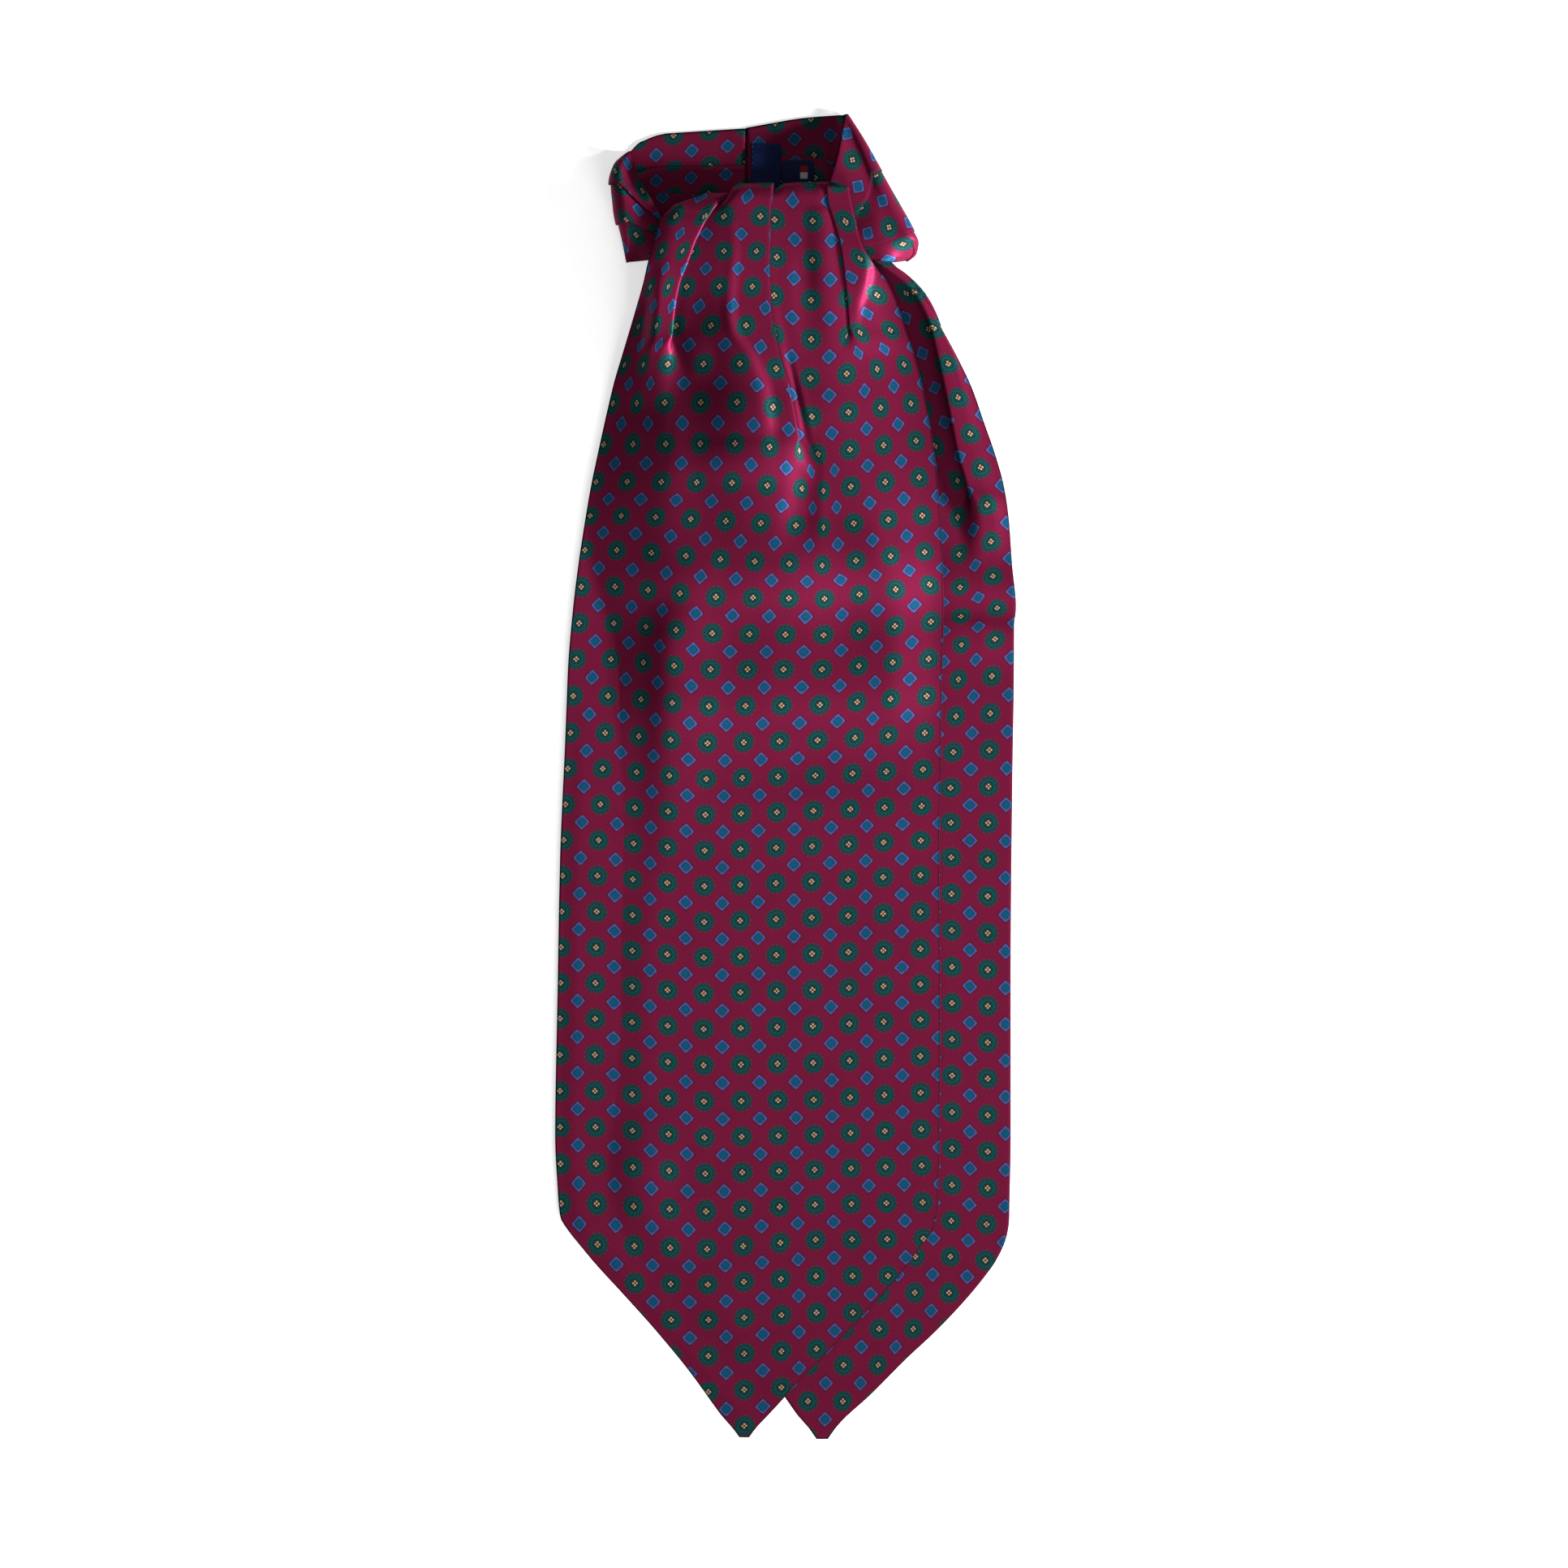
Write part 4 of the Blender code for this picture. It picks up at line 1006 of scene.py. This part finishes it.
def stitches(name, seams):
    """Short stitches along each seam, made with Geometry Nodes and kept as plain mesh."""
    lines = seam_lines(name + "_lines", seams)
    tree = stitch_tree(thread_material())
    sewn = lines.modifiers.new("Stitches", "NODES")
    sewn.node_group = tree
    for socket in tree.interface.items_tree:
        if socket.in_out == "INPUT" and socket.name == "Seed":
            sewn[socket.identifier] = 7
    graph = bpy.context.evaluated_depsgraph_get()
    result = bpy.data.meshes.new_from_object(lines.evaluated_get(graph))
    bpy.data.objects.remove(lines)
    if not result.polygons:
        raise RuntimeError("no stitches were made")
    result.name = name
    piece = bpy.data.objects.new(name, result)
    bpy.context.scene.collection.objects.link(piece)
    return piece


def stitch_tree(material):
    """Node tree: a rounded stitch at each step along the lines, turned a little by a fixed seed."""
    tree = bpy.data.node_groups.new("Stitches", "GeometryNodeTree")
    tree.interface.new_socket("Geometry", in_out="INPUT", socket_type="NodeSocketGeometry")
    for label, value in (("Step", 0.0021), ("Length", 0.0013), ("Thread", THREAD)):
        socket = tree.interface.new_socket(label, in_out="INPUT", socket_type="NodeSocketFloat")
        socket.default_value = value
    tree.interface.new_socket("Seed", in_out="INPUT", socket_type="NodeSocketInt")
    tree.interface.new_socket("Geometry", in_out="OUTPUT", socket_type="NodeSocketGeometry")
    g = Graph(tree)
    inputs, outputs = g.node("NodeGroupInput"), g.node("NodeGroupOutput")
    line = g.node("GeometryNodeMeshToCurve")
    g.put(line.inputs["Mesh"], inputs.outputs["Geometry"])
    points = g.node("GeometryNodeCurveToPoints", mode="LENGTH")
    g.put(points.inputs["Curve"], line.outputs["Curve"])
    g.put(points.inputs["Length"], inputs.outputs["Step"])
    turn = g.node("FunctionNodeAlignRotationToVector", axis="X")
    g.put(turn.inputs["Vector"], points.outputs["Tangent"])
    chance = g.node("FunctionNodeRandomValue", data_type="FLOAT_VECTOR")
    chance.inputs[0].default_value, chance.inputs[1].default_value = (0.0, 0.0, -0.15), (0.0, 0.0, 0.15)
    g.put(chance.inputs["Seed"], inputs.outputs["Seed"])
    wobble = g.node("FunctionNodeEulerToRotation")
    g.put(wobble.inputs[0], chance.outputs[0])
    both = g.node("FunctionNodeRotateRotation")
    g.put(both.inputs[0], turn.outputs[0])
    g.put(both.inputs[1], wobble.outputs[0])
    ball = g.node("GeometryNodeMeshUVSphere")
    ball.inputs["Segments"].default_value, ball.inputs["Rings"].default_value = 6, 4
    ball.inputs["Radius"].default_value = 0.5
    size = g.node("ShaderNodeCombineXYZ")
    g.put(size.inputs[0], inputs.outputs["Length"])
    g.put(size.inputs[1], g.math("MULTIPLY", inputs.outputs["Thread"], 1.4))
    g.put(size.inputs[2], inputs.outputs["Thread"])
    copies = g.node("GeometryNodeInstanceOnPoints")
    g.put(copies.inputs["Points"], points.outputs["Points"])
    g.put(copies.inputs["Instance"], ball.outputs["Mesh"])
    g.put(copies.inputs["Rotation"], both.outputs[0])
    g.put(copies.inputs["Scale"], size.outputs[0])
    real = g.node("GeometryNodeRealizeInstances")
    g.put(real.inputs[0], copies.outputs[0])
    coat = g.node("GeometryNodeSetMaterial")
    coat.inputs["Material"].default_value = material
    g.put(coat.inputs["Geometry"], real.outputs[0])
    g.put(outputs.inputs[0], coat.outputs[0])
    return tree


# Materials.


class Graph:
    """Adds nodes to a tree in short lines."""

    def __init__(self, tree):
        self.tree, self.nodes, self.links = tree, tree.nodes, tree.links

    def node(self, kind, **values):
        node = self.nodes.new(kind)
        for key, value in values.items():
            setattr(node, key, value)
        return node

    def put(self, socket, value):
        if isinstance(value, bpy.types.NodeSocket):
            self.links.new(value, socket)
        else:
            socket.default_value = value

    def math(self, operation, *values, clamp=False):
        node = self.node("ShaderNodeMath", operation=operation, use_clamp=clamp)
        for socket, value in zip(node.inputs, values):
            self.put(socket, value)
        return node.outputs[0]

    def inside(self, distance, limit, blur):
        """1 where distance is under limit, over a soft edge."""
        gap = self.math("SUBTRACT", limit, distance)
        return self.math("MULTIPLY_ADD", gap, 1.0 / blur, 0.5, clamp=True)

    def mix(self, factor, first, second):
        node = self.node("ShaderNodeMix", data_type="RGBA")
        for index, value in ((0, factor), (6, first), (7, second)):
            self.put(node.inputs[index], value)
        return node.outputs[2]

    def length(self, x, y):
        squares = self.math("ADD", self.math("MULTIPLY", x, x), self.math("MULTIPLY", y, y))
        return self.math("SQRT", squares)

    def times(self, vector, factor):
        """A vector or colour made longer or brighter by a factor."""
        node = self.node("ShaderNodeVectorMath", operation="SCALE")
        self.put(node.inputs[0], vector)
        self.put(node.inputs["Scale"], factor)
        return node.outputs[0]

    def split(self, vector):
        node = self.node("ShaderNodeSeparateXYZ")
        self.put(node.inputs[0], vector)
        return node.outputs[0], node.outputs[1]

    def noise(self, vector, scale, detail=2.0):
        node = self.node("ShaderNodeTexNoise", noise_dimensions="2D")
        self.put(node.inputs["Vector"], vector)
        self.put(node.inputs["Scale"], scale)
        self.put(node.inputs["Detail"], detail)
        return node

    def relief(self, shader, height, strength):
        """Bump of a tenth of a millimetre on the shader's normal."""
        bump = self.node("ShaderNodeBump")
        bump.inputs["Strength"].default_value = strength
        bump.inputs["Distance"].default_value = 0.0001
        self.put(bump.inputs["Height"], height)
        self.put(shader.inputs["Normal"], bump.outputs[0])


def group(name, inputs, outputs):
    """A new shader node group with sockets from (name, type) pairs, and its graph."""
    tree = bpy.data.node_groups.new(name, "ShaderNodeTree")
    for label, kind in inputs:
        tree.interface.new_socket(label, in_out="INPUT", socket_type=kind)
    for label, kind in outputs:
        tree.interface.new_socket(label, in_out="OUTPUT", socket_type=kind)
    g = Graph(tree)
    return g, g.node("NodeGroupInput"), g.node("NodeGroupOutput")


COLOUR, NUMBER, VECTOR = "NodeSocketColor", "NodeSocketFloat", "NodeSocketVector"
PRINT_COLOURS = ("Ground", "Leaf", "Ring", "Petal", "Navy", "Brown", "Lavender", "Blue", "Teal")
# Scallops round a medallion.
SCALLOPS = 13


def foulard_group():
    """The print: scalloped medallions with four petals, and small stars between them, in millimetres."""
    sockets = [("Place", VECTOR)] + [(name, COLOUR) for name in PRINT_COLOURS]
    g, inputs, outputs = group("Foulard print", sockets, [("Color", COLOUR), ("Ink", NUMBER)])
    size = bpy.context.scene.cravat_print.repeat * 1000
    colour = {name: inputs.outputs[name] for name in PRINT_COLOURS}
    # The printed edges waver by about a hundredth of the repeat.
    waver = 0.022
    moved = g.node("ShaderNodeVectorMath", operation="MULTIPLY_ADD")
    g.put(moved.inputs[0], g.noise(inputs.outputs["Place"], 9.0, 1.0).outputs["Color"])
    moved.inputs[1].default_value = (waver, waver, 0.0)
    g.put(moved.inputs[2], inputs.outputs["Place"])
    place = g.split(moved.outputs[0])
    paint = colour["Ground"]

    def cell(shift):
        """Distances from the centre of the nearest motif, across and along."""
        out = []
        for socket in place:
            part = g.math("FRACT", g.math("ADD", socket, 0.5 - waver / 2 + shift))
            out.append(g.math("MULTIPLY", g.math("SUBTRACT", part, 0.5), size))
        return out

    def ring_of(count, radius, shift=0.0):
        """Distance to the nearest of a ring of points round the medallion's centre."""
        near = g.math("PINGPONG", g.math("ADD", angle, shift), math.pi / count)
        u = g.math("SUBTRACT", g.math("MULTIPLY", r, g.math("COSINE", near)), radius)
        return g.length(u, g.math("MULTIPLY", r, g.math("SINE", near)))

    def lay(mask, tint, strength=1.0):
        """Prints a colour over what is there, where the mask is 1."""
        nonlocal paint
        paint = g.mix(mask if strength == 1.0 else g.math("MULTIPLY", mask, strength), paint, tint)

    def line(distance, radius, half, blur):
        """1 on a line at a radius."""
        return g.inside(g.math("ABSOLUTE", g.math("SUBTRACT", distance, radius)), half, blur)

    # Medallion: dots around it, a dark rim, the leaf, rings, beads, the cross and its four petals.
    x, y = cell(0.0)
    r = g.length(x, y)
    angle = g.math("ARCTAN2", y, x)
    scallop = ring_of(SCALLOPS, 3.2, math.pi / SCALLOPS)
    lay(g.inside(ring_of(SCALLOPS, 4.1), 0.44, 0.4), g.mix(0.45, colour["Navy"], colour["Ring"]))
    leaf = g.math("MAXIMUM", g.inside(r, 3.5, 0.4), g.inside(scallop, 0.72, 0.3))
    rim = g.math("MAXIMUM", g.inside(r, 3.7, 0.5), g.inside(scallop, 0.95, 0.4))
    lay(rim, g.mix(0.45, colour["Navy"], colour["Leaf"]))
    lay(leaf, colour["Leaf"])
    lay(line(scallop, 0.50, 0.10, 0.25), colour["Ring"], 0.7)
    lay(g.inside(scallop, 0.25, 0.3), colour["Navy"])
    lay(line(r, 2.45, 0.12, 0.3), colour["Ring"], 0.6)
    lay(g.inside(ring_of(8, 1.95), 0.24, 0.25), colour["Navy"], 0.6)
    lay(g.inside(r, 1.2, 0.3), colour["Brown"])
    slant = g.math("SUBTRACT", math.pi / 4, g.math("PINGPONG", angle, math.pi / 4))
    gap = g.inside(g.math("MULTIPLY", r, g.math("SINE", slant)), 0.17, 0.16)
    petals = g.inside(ring_of(4, 0.66), 0.46, 0.2)
    lay(g.math("MULTIPLY", g.math("SUBTRACT", 1.0, gap), petals), colour["Petal"])

    # Star: a broken dark halo, a pale outline, blue inside it and a teal centre.
    ax, ay = (g.math("ABSOLUTE", socket) for socket in cell(0.5))
    power = 1.1
    star = g.math("ADD", g.math("POWER", ax, power), g.math("POWER", ay, power))
    star = g.math("POWER", star, 1 / power)
    tip = g.math("MULTIPLY_ADD", g.math("MAXIMUM", ax, ay), 0.5, -0.35, clamp=True)
    pale = g.mix(tip, colour["Blue"], colour["Lavender"])
    speck = g.noise(inputs.outputs["Place"], 22.0).outputs["Fac"]
    broken = g.math("MULTIPLY_ADD", speck, 1.6, -0.15, clamp=True)
    lay(g.math("MULTIPLY", g.inside(star, 3.6, 0.6), broken), colour["Navy"])
    lay(g.inside(star, 3.05, 0.4), g.mix(0.45, pale, colour["Lavender"]))
    lay(g.inside(star, 2.05, 0.3), colour["Blue"])
    lay(g.inside(star, 1.65, 0.5), colour["Teal"])
    g.put(outputs.inputs["Color"], paint)
    g.put(outputs.inputs["Ink"], g.math("MAXIMUM", leaf, g.inside(star, 3.3, 0.3)))
    return g.tree


def twill_group():
    """Fine slanting twill lines, and slow uneven tone as in dyed silk."""
    g, inputs, outputs = group("Silk twill", [("Place", VECTOR), ("Lines", NUMBER)],
                               [("Height", NUMBER), ("Tone", NUMBER)])
    x, y = g.split(inputs.outputs["Place"])
    lines = inputs.outputs["Lines"]
    # The twill runs along a slant of about 27 degrees, with finer threads square to it.
    slope = g.math("ADD", g.math("MULTIPLY", x, 0.89), g.math("MULTIPLY", y, 0.45))
    square = g.math("SUBTRACT", g.math("MULTIPLY", y, 0.89), g.math("MULTIPLY", x, 0.45))
    wave = g.math("SINE", g.math("MULTIPLY", g.math("MULTIPLY", slope, lines), 2 * math.pi))
    thread = g.math("SINE", g.math("MULTIPLY", g.math("MULTIPLY", square, lines), 4 * math.pi))
    relief = g.math("ADD", wave, g.math("MULTIPLY", thread, 0.4))
    g.put(outputs.inputs["Height"], g.math("MULTIPLY_ADD", relief, 0.3, 0.5))
    cloud = g.math("MULTIPLY_ADD", g.noise(inputs.outputs["Place"], 0.9, 3.0).outputs["Fac"], 0.16, 0.92)
    g.put(outputs.inputs["Tone"], g.math("MULTIPLY_ADD", wave, 0.035, cloud))
    return g.tree


def shared(g, name, make):
    """A node of a group that is built once and used in more than one material."""
    return g.node("ShaderNodeGroup", node_tree=bpy.data.node_groups.get(name) or make())


def new_material(name, **values):
    """A material, its graph and its shader, with values set on the shader's own sockets."""
    material = bpy.data.materials.new(name)
    material.use_nodes = True
    g = Graph(material.node_tree)
    shader = g.nodes["Principled BSDF"]
    for label, value in values.items():
        shader.inputs[label.replace("_", " ")].default_value = value
    return material, g, shader


def silk(name="Foulard silk"):
    """The printed silk, on the piece's own print coordinates."""
    if name in bpy.data.materials:
        return bpy.data.materials[name]
    look = bpy.context.scene.cravat_print
    material, g, shader = new_material(
        name, Specular_IOR_Level=0.10, Specular_Tint=(0.70, 0.26, 0.38, 1.0), Metallic=0.30)
    place = g.node("ShaderNodeUVMap", uv_map="print").outputs[0]
    ink = shared(g, "Foulard print", foulard_group)
    weave = shared(g, "Silk twill", twill_group)
    g.put(ink.inputs["Place"], place)
    g.put(weave.inputs["Place"], place)
    weave.inputs["Lines"].default_value = 23.0
    for label in PRINT_COLOURS:
        ink.inputs[label].default_value = (*getattr(look, label.lower()), 1.0)
    # Painted shade along hems and pleat edges: the colour drops to a fifth within 0.3 mm of them and
    # recovers by 0.9 mm.
    hem = g.node("ShaderNodeAttribute", attribute_name="hem").outputs["Fac"]
    painted_edge_shade = g.math("MULTIPLY_ADD", g.inside(hem, 0.6, 0.6), -0.8, 1.0)
    tone = g.math("MULTIPLY", weave.outputs["Tone"], painted_edge_shade)
    g.put(shader.inputs["Base Color"], g.times(ink.outputs["Color"], tone))
    g.put(shader.inputs["Roughness"], g.math("MULTIPLY_ADD", ink.outputs["Ink"], 0.08, 0.46))
    g.relief(shader, weave.outputs["Height"], 0.12)
    return material


def tape(name, colour, marks=()):
    """Woven label cloth: close ribs on Object coordinates, with a patch of colour for each mark."""
    material, g, shader = new_material(name, Specular_IOR_Level=0.12)
    place = g.node("ShaderNodeTexCoord").outputs["Object"]
    weave = shared(g, "Silk twill", twill_group)
    g.put(weave.inputs["Place"], g.times(place, 66.7))
    weave.inputs["Lines"].default_value = 34.0
    x, y = g.split(place)
    paint = (*colour, 1.0)
    for x0, x1, y0, y1, patch in marks:
        inside = []
        for socket, low, high in ((x, across(x0), across(x1)), (y, along(y1), along(y0))):
            gap = g.math("ABSOLUTE", g.math("SUBTRACT", socket, (low + high) / 2))
            inside.append(g.inside(gap, (high - low) / 2, 0.0003))
        paint = g.mix(g.math("MULTIPLY", *inside), paint, (*patch, 1.0))
    tinted = g.times(paint if marks else colour, weave.outputs["Tone"])
    g.put(shader.inputs["Base Color"], tinted)
    g.put(shader.inputs["Roughness"], g.math("MULTIPLY_ADD", weave.outputs["Height"], 0.1, 0.5))
    g.relief(shader, weave.outputs["Height"], 0.25)
    return material


def thread_material():
    """Sewing thread of the labels."""
    return new_material(
        "Sewing thread", Base_Color=(0.02, 0.035, 0.12, 1.0), Roughness=0.6, Specular_IOR_Level=0.2)[0]


# Operators.


class CRAVAT_OT_front_blade(bpy.types.Operator):
    """Front blade: it comes over the knot, pleated, and falls to its point."""

    bl_idname = "cravat.front_blade"
    bl_label = "Front blade"

    def execute(self, context):
        points, prints = front_points()
        crease_shade = front_crease_shade(points)
        wall = cloth().thickness
        piece = mesh_sheet("front_blade_silk", points, prints, silk(), wall, 0.0005, crease_shade)
        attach(piece, "root")
        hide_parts("front_blade")
        return {"FINISHED"}


class CRAVAT_OT_rear_blade(bpy.types.Operator):
    """Rear blade: it hangs behind the front blade and shows at its right."""

    bl_idname = "cravat.rear_blade"
    bl_label = "Rear blade"

    def execute(self, context):
        points, prints = rear_points()
        piece = mesh_sheet("rear_blade_silk", points, prints, silk(), cloth().thickness, 0.0009)
        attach(piece, "root")
        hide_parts("rear_blade")
        return {"FINISHED"}


# The neckband's stretches: node, side, whether it is in front, and its length.
BAND_STRETCHES = (
    ("neckband_back_left", -1, False, 0.0460), ("neckband_back_right", 1, False, 0.0530),
    ("neckband_front_left", -1, True, 0.0160), ("neckband_front_right", 1, True, 0.0220),
)


class CRAVAT_OT_neckband(bpy.types.Operator):
    """Neckband: four pleated stretches round the neck loop."""

    bl_idname = "cravat.neckband"
    bl_label = "Neckband"

    def execute(self, context):
        for name, side, front, length in BAND_STRETCHES:
            points, prints = band_points(name, side, front)
            crease_shade = band_crease_shade(points, front)
            wall = cloth().band_cloth
            piece = mesh_sheet(name + "_silk", points, prints, silk(), wall, 0.0006, crease_shade)
            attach(piece, "root")
            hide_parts(name)
        return {"FINISHED"}


class CRAVAT_OT_labels(bpy.types.Operator):
    """Two woven labels on the neckband's inner face, the smaller one with a mark, and their stitches."""

    bl_idname = "cravat.labels"
    bl_label = "Labels"

    def execute(self, context):
        for name, marks in (("label_main", ()), ("label_care", LABEL_MARKS)):
            points = label_points(name)
            prints = points[:, :, :2] / REPEAT_METRES
            look = tape(name + "_tape", LABEL_COLOURS[name], marks)
            piece = mesh_sheet(name + "_tape", points, prints, look, 0.0004, 0.0003)
            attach(piece, "root")
            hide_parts(name)
        piece = stitches("label_stitches", LABEL_SEAMS)
        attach(piece, "root")
        return {"FINISHED"}


def knot_place(way, low, high):
    """Where a place on the unit ball lies on the knot's layers, a rounded box from low to high."""
    centre = [(a + b) / 2 for a, b in zip(low, high)]
    # It stays a little inside the solid.
    half = [(b - a) / 2 * 0.97 for a, b in zip(low, high)]
    corner, flatness = 3.2, 0.62
    turn = math.atan2(way.y, way.x)
    rise = math.asin(max(-1.0, min(1.0, way.z)))
    box = (abs(math.cos(turn)) ** corner + abs(math.sin(turn)) ** corner) ** (-1 / corner)
    wide = max(math.cos(rise), 0.0) ** flatness
    up = math.copysign(abs(math.sin(rise)) ** flatness, math.sin(rise))
    # Four layers show at the edge as soft ribs.
    rib = 1 + 0.035 * math.cos(up * math.pi * 4) * wide
    x = centre[0] + half[0] * math.cos(turn) * box * wide * rib
    y = centre[1] + half[1] * math.sin(turn) * box * wide * rib
    # Its top falls towards the blades, under the front one.
    fall = 0.0032 * float(smooth((along(288) - y) / (along(288) - along(333))))
    top, foot = centre[2] + half[2] - fall, low[2] + 0.0002
    return x, y, 0.5 * (foot + top) + 0.5 * (top - foot) * up


class CRAVAT_OT_knot(bpy.types.Operator):
    """Hidden layers of the knot: a rounded stack between the neckband's back and the front blade."""

    bl_idname = "cravat.knot"
    bl_label = "Knot's hidden layers"

    def execute(self, context):
        low, high = [list(corner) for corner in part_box("knot_core")]
        low[2] = 0.0009 + cloth().band_layer
        bm = bmesh.new()
        bmesh.ops.create_uvsphere(bm, u_segments=96, v_segments=48, radius=1.0)
        layer = bm.loops.layers.uv.new("print")
        for vert in bm.verts:
            vert.co = knot_place(vert.co, low, high)
        for face in bm.faces:
            for loop in face.loops:
                x, y, z = loop.vert.co
                loop[layer].uv = (x / REPEAT_METRES, (y + z) / REPEAT_METRES)
        piece = new_piece("knot_layers", bm, silk(), np.full(len(bm.verts), EDGE_SHADE_REACH))
        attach(piece, "root")
        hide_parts("knot_core")
        return {"FINISHED"}


# Lights: name, kind, degrees round from the right, degrees up, metres away, size, and y it aims at.
LIGHTS = (
    ("key", "SPOT", -12, 16, 3.0, 0.25, 0.09),
    ("side", "AREA", -65, 14, 3.0, 1.6, 0.0),
    ("fill", "AREA", 0, 90, 2.5, 2.0, 0.0),
)
# The photo's side in steps. The camera stands over its middle.
PHOTO_SIDE = 1932


def add_light(name, kind, turn, rise, far, size, aim, power):
    """A lamp that looks at the aim from the given direction and distance."""
    light = bpy.data.lights.new(name, kind)
    light.energy = power
    if kind == "AREA":
        light.shape, light.size = "DISK", size
    else:
        light.shadow_soft_size, light.spot_size, light.spot_blend = size, math.radians(20), 1.0
    lamp = bpy.data.objects.new(name, light)
    turn, rise = math.radians(turn), math.radians(rise)
    lamp.location = (far * math.cos(rise) * math.cos(turn),
                     aim + far * math.cos(rise) * math.sin(turn), far * math.sin(rise))
    lamp.rotation_mode = "QUATERNION"
    to_aim = mathutils.Vector((0.0, aim, 0.0)) - lamp.location
    lamp.rotation_quaternion = to_aim.to_track_quat("-Z", "Y")
    bpy.context.scene.collection.objects.link(lamp)


class CRAVAT_OT_stage(bpy.types.Operator):
    """Pale floor, a low light from the right, a broad low one, light from above, and the camera."""

    bl_idname = "cravat.stage"
    bl_label = "Stage"

    def execute(self, context):
        look = context.scene.cravat_stage
        white = (1.0, 1.0, 1.0, 1.0)
        mesh = bpy.data.meshes.new("floor")
        reach, depth = 4.0, -0.0004
        corners = [(-reach, -reach), (reach, -reach), (reach, reach), (-reach, reach)]
        mesh.from_pydata([(x, y, depth) for x, y in corners], [], [(0, 1, 2, 3)])
        floor = bpy.data.objects.new("floor", mesh)
        context.scene.collection.objects.link(floor)
        mesh.materials.append(new_material(
            "Floor", Base_Color=(*look.floor, 1.0), Roughness=0.9,
            Emission_Color=white, Emission_Strength=0.6)[0])
        world = bpy.data.worlds.new("Surroundings")
        world.use_nodes = True
        background = world.node_tree.nodes["Background"]
        background.inputs["Color"].default_value = white
        background.inputs["Strength"].default_value = look.sky
        context.scene.world = world
        context.scene.view_settings.view_transform = "Standard"
        for name, *place in LIGHTS:
            add_light(name, *place, getattr(look, name))
        data = bpy.data.cameras.new("camera")
        data.lens, data.sensor_width, data.clip_end = 200.0, 36.0, 20.0
        camera = bpy.data.objects.new("camera", data)
        height = PHOTO_SIDE * STEP * data.lens / data.sensor_width
        camera.location = (across(PHOTO_SIDE / 2), along(PHOTO_SIDE / 2), height)
        context.scene.collection.objects.link(camera)
        context.scene.camera = camera
        return {"FINISHED"}


class CRAVAT_PT_panel(bpy.types.Panel):
    """Buttons for each piece, and the sizes and colours they use."""

    bl_idname = "CRAVAT_PT_panel"
    bl_label = "Silk cravat"
    bl_space_type = "VIEW_3D"
    bl_region_type = "UI"
    bl_category = "Cravat"

    def draw(self, context):
        column = self.layout.column()
        for operator in OPERATORS:
            column.operator(operator.bl_idname)
        for group_name in SETTINGS:
            settings = getattr(context.scene, group_name)
            for name in settings.bl_rna.properties.keys():
                if name not in ("rna_type", "name"):
                    column.prop(settings, name)


SETTINGS = {"cravat_cloth": CravatCloth, "cravat_print": CravatPrint, "cravat_stage": CravatStage}
OPERATORS = (CRAVAT_OT_front_blade, CRAVAT_OT_rear_blade, CRAVAT_OT_neckband, CRAVAT_OT_labels,
             CRAVAT_OT_knot, CRAVAT_OT_stage)
CLASSES = (*SETTINGS.values(), *OPERATORS, CRAVAT_PT_panel)


def register():
    for item in CLASSES:
        bpy.utils.register_class(item)
    for name, settings in SETTINGS.items():
        setattr(bpy.types.Scene, name, PointerProperty(type=settings))


def unregister():
    for name in SETTINGS:
        delattr(bpy.types.Scene, name)
    for item in reversed(CLASSES):
        bpy.utils.unregister_class(item)


def main():
    register()
    for operator in OPERATORS:
        section, name = operator.bl_idname.split(".")
        getattr(getattr(bpy.ops, section), name)()


if __name__ == "__main__":
    main()
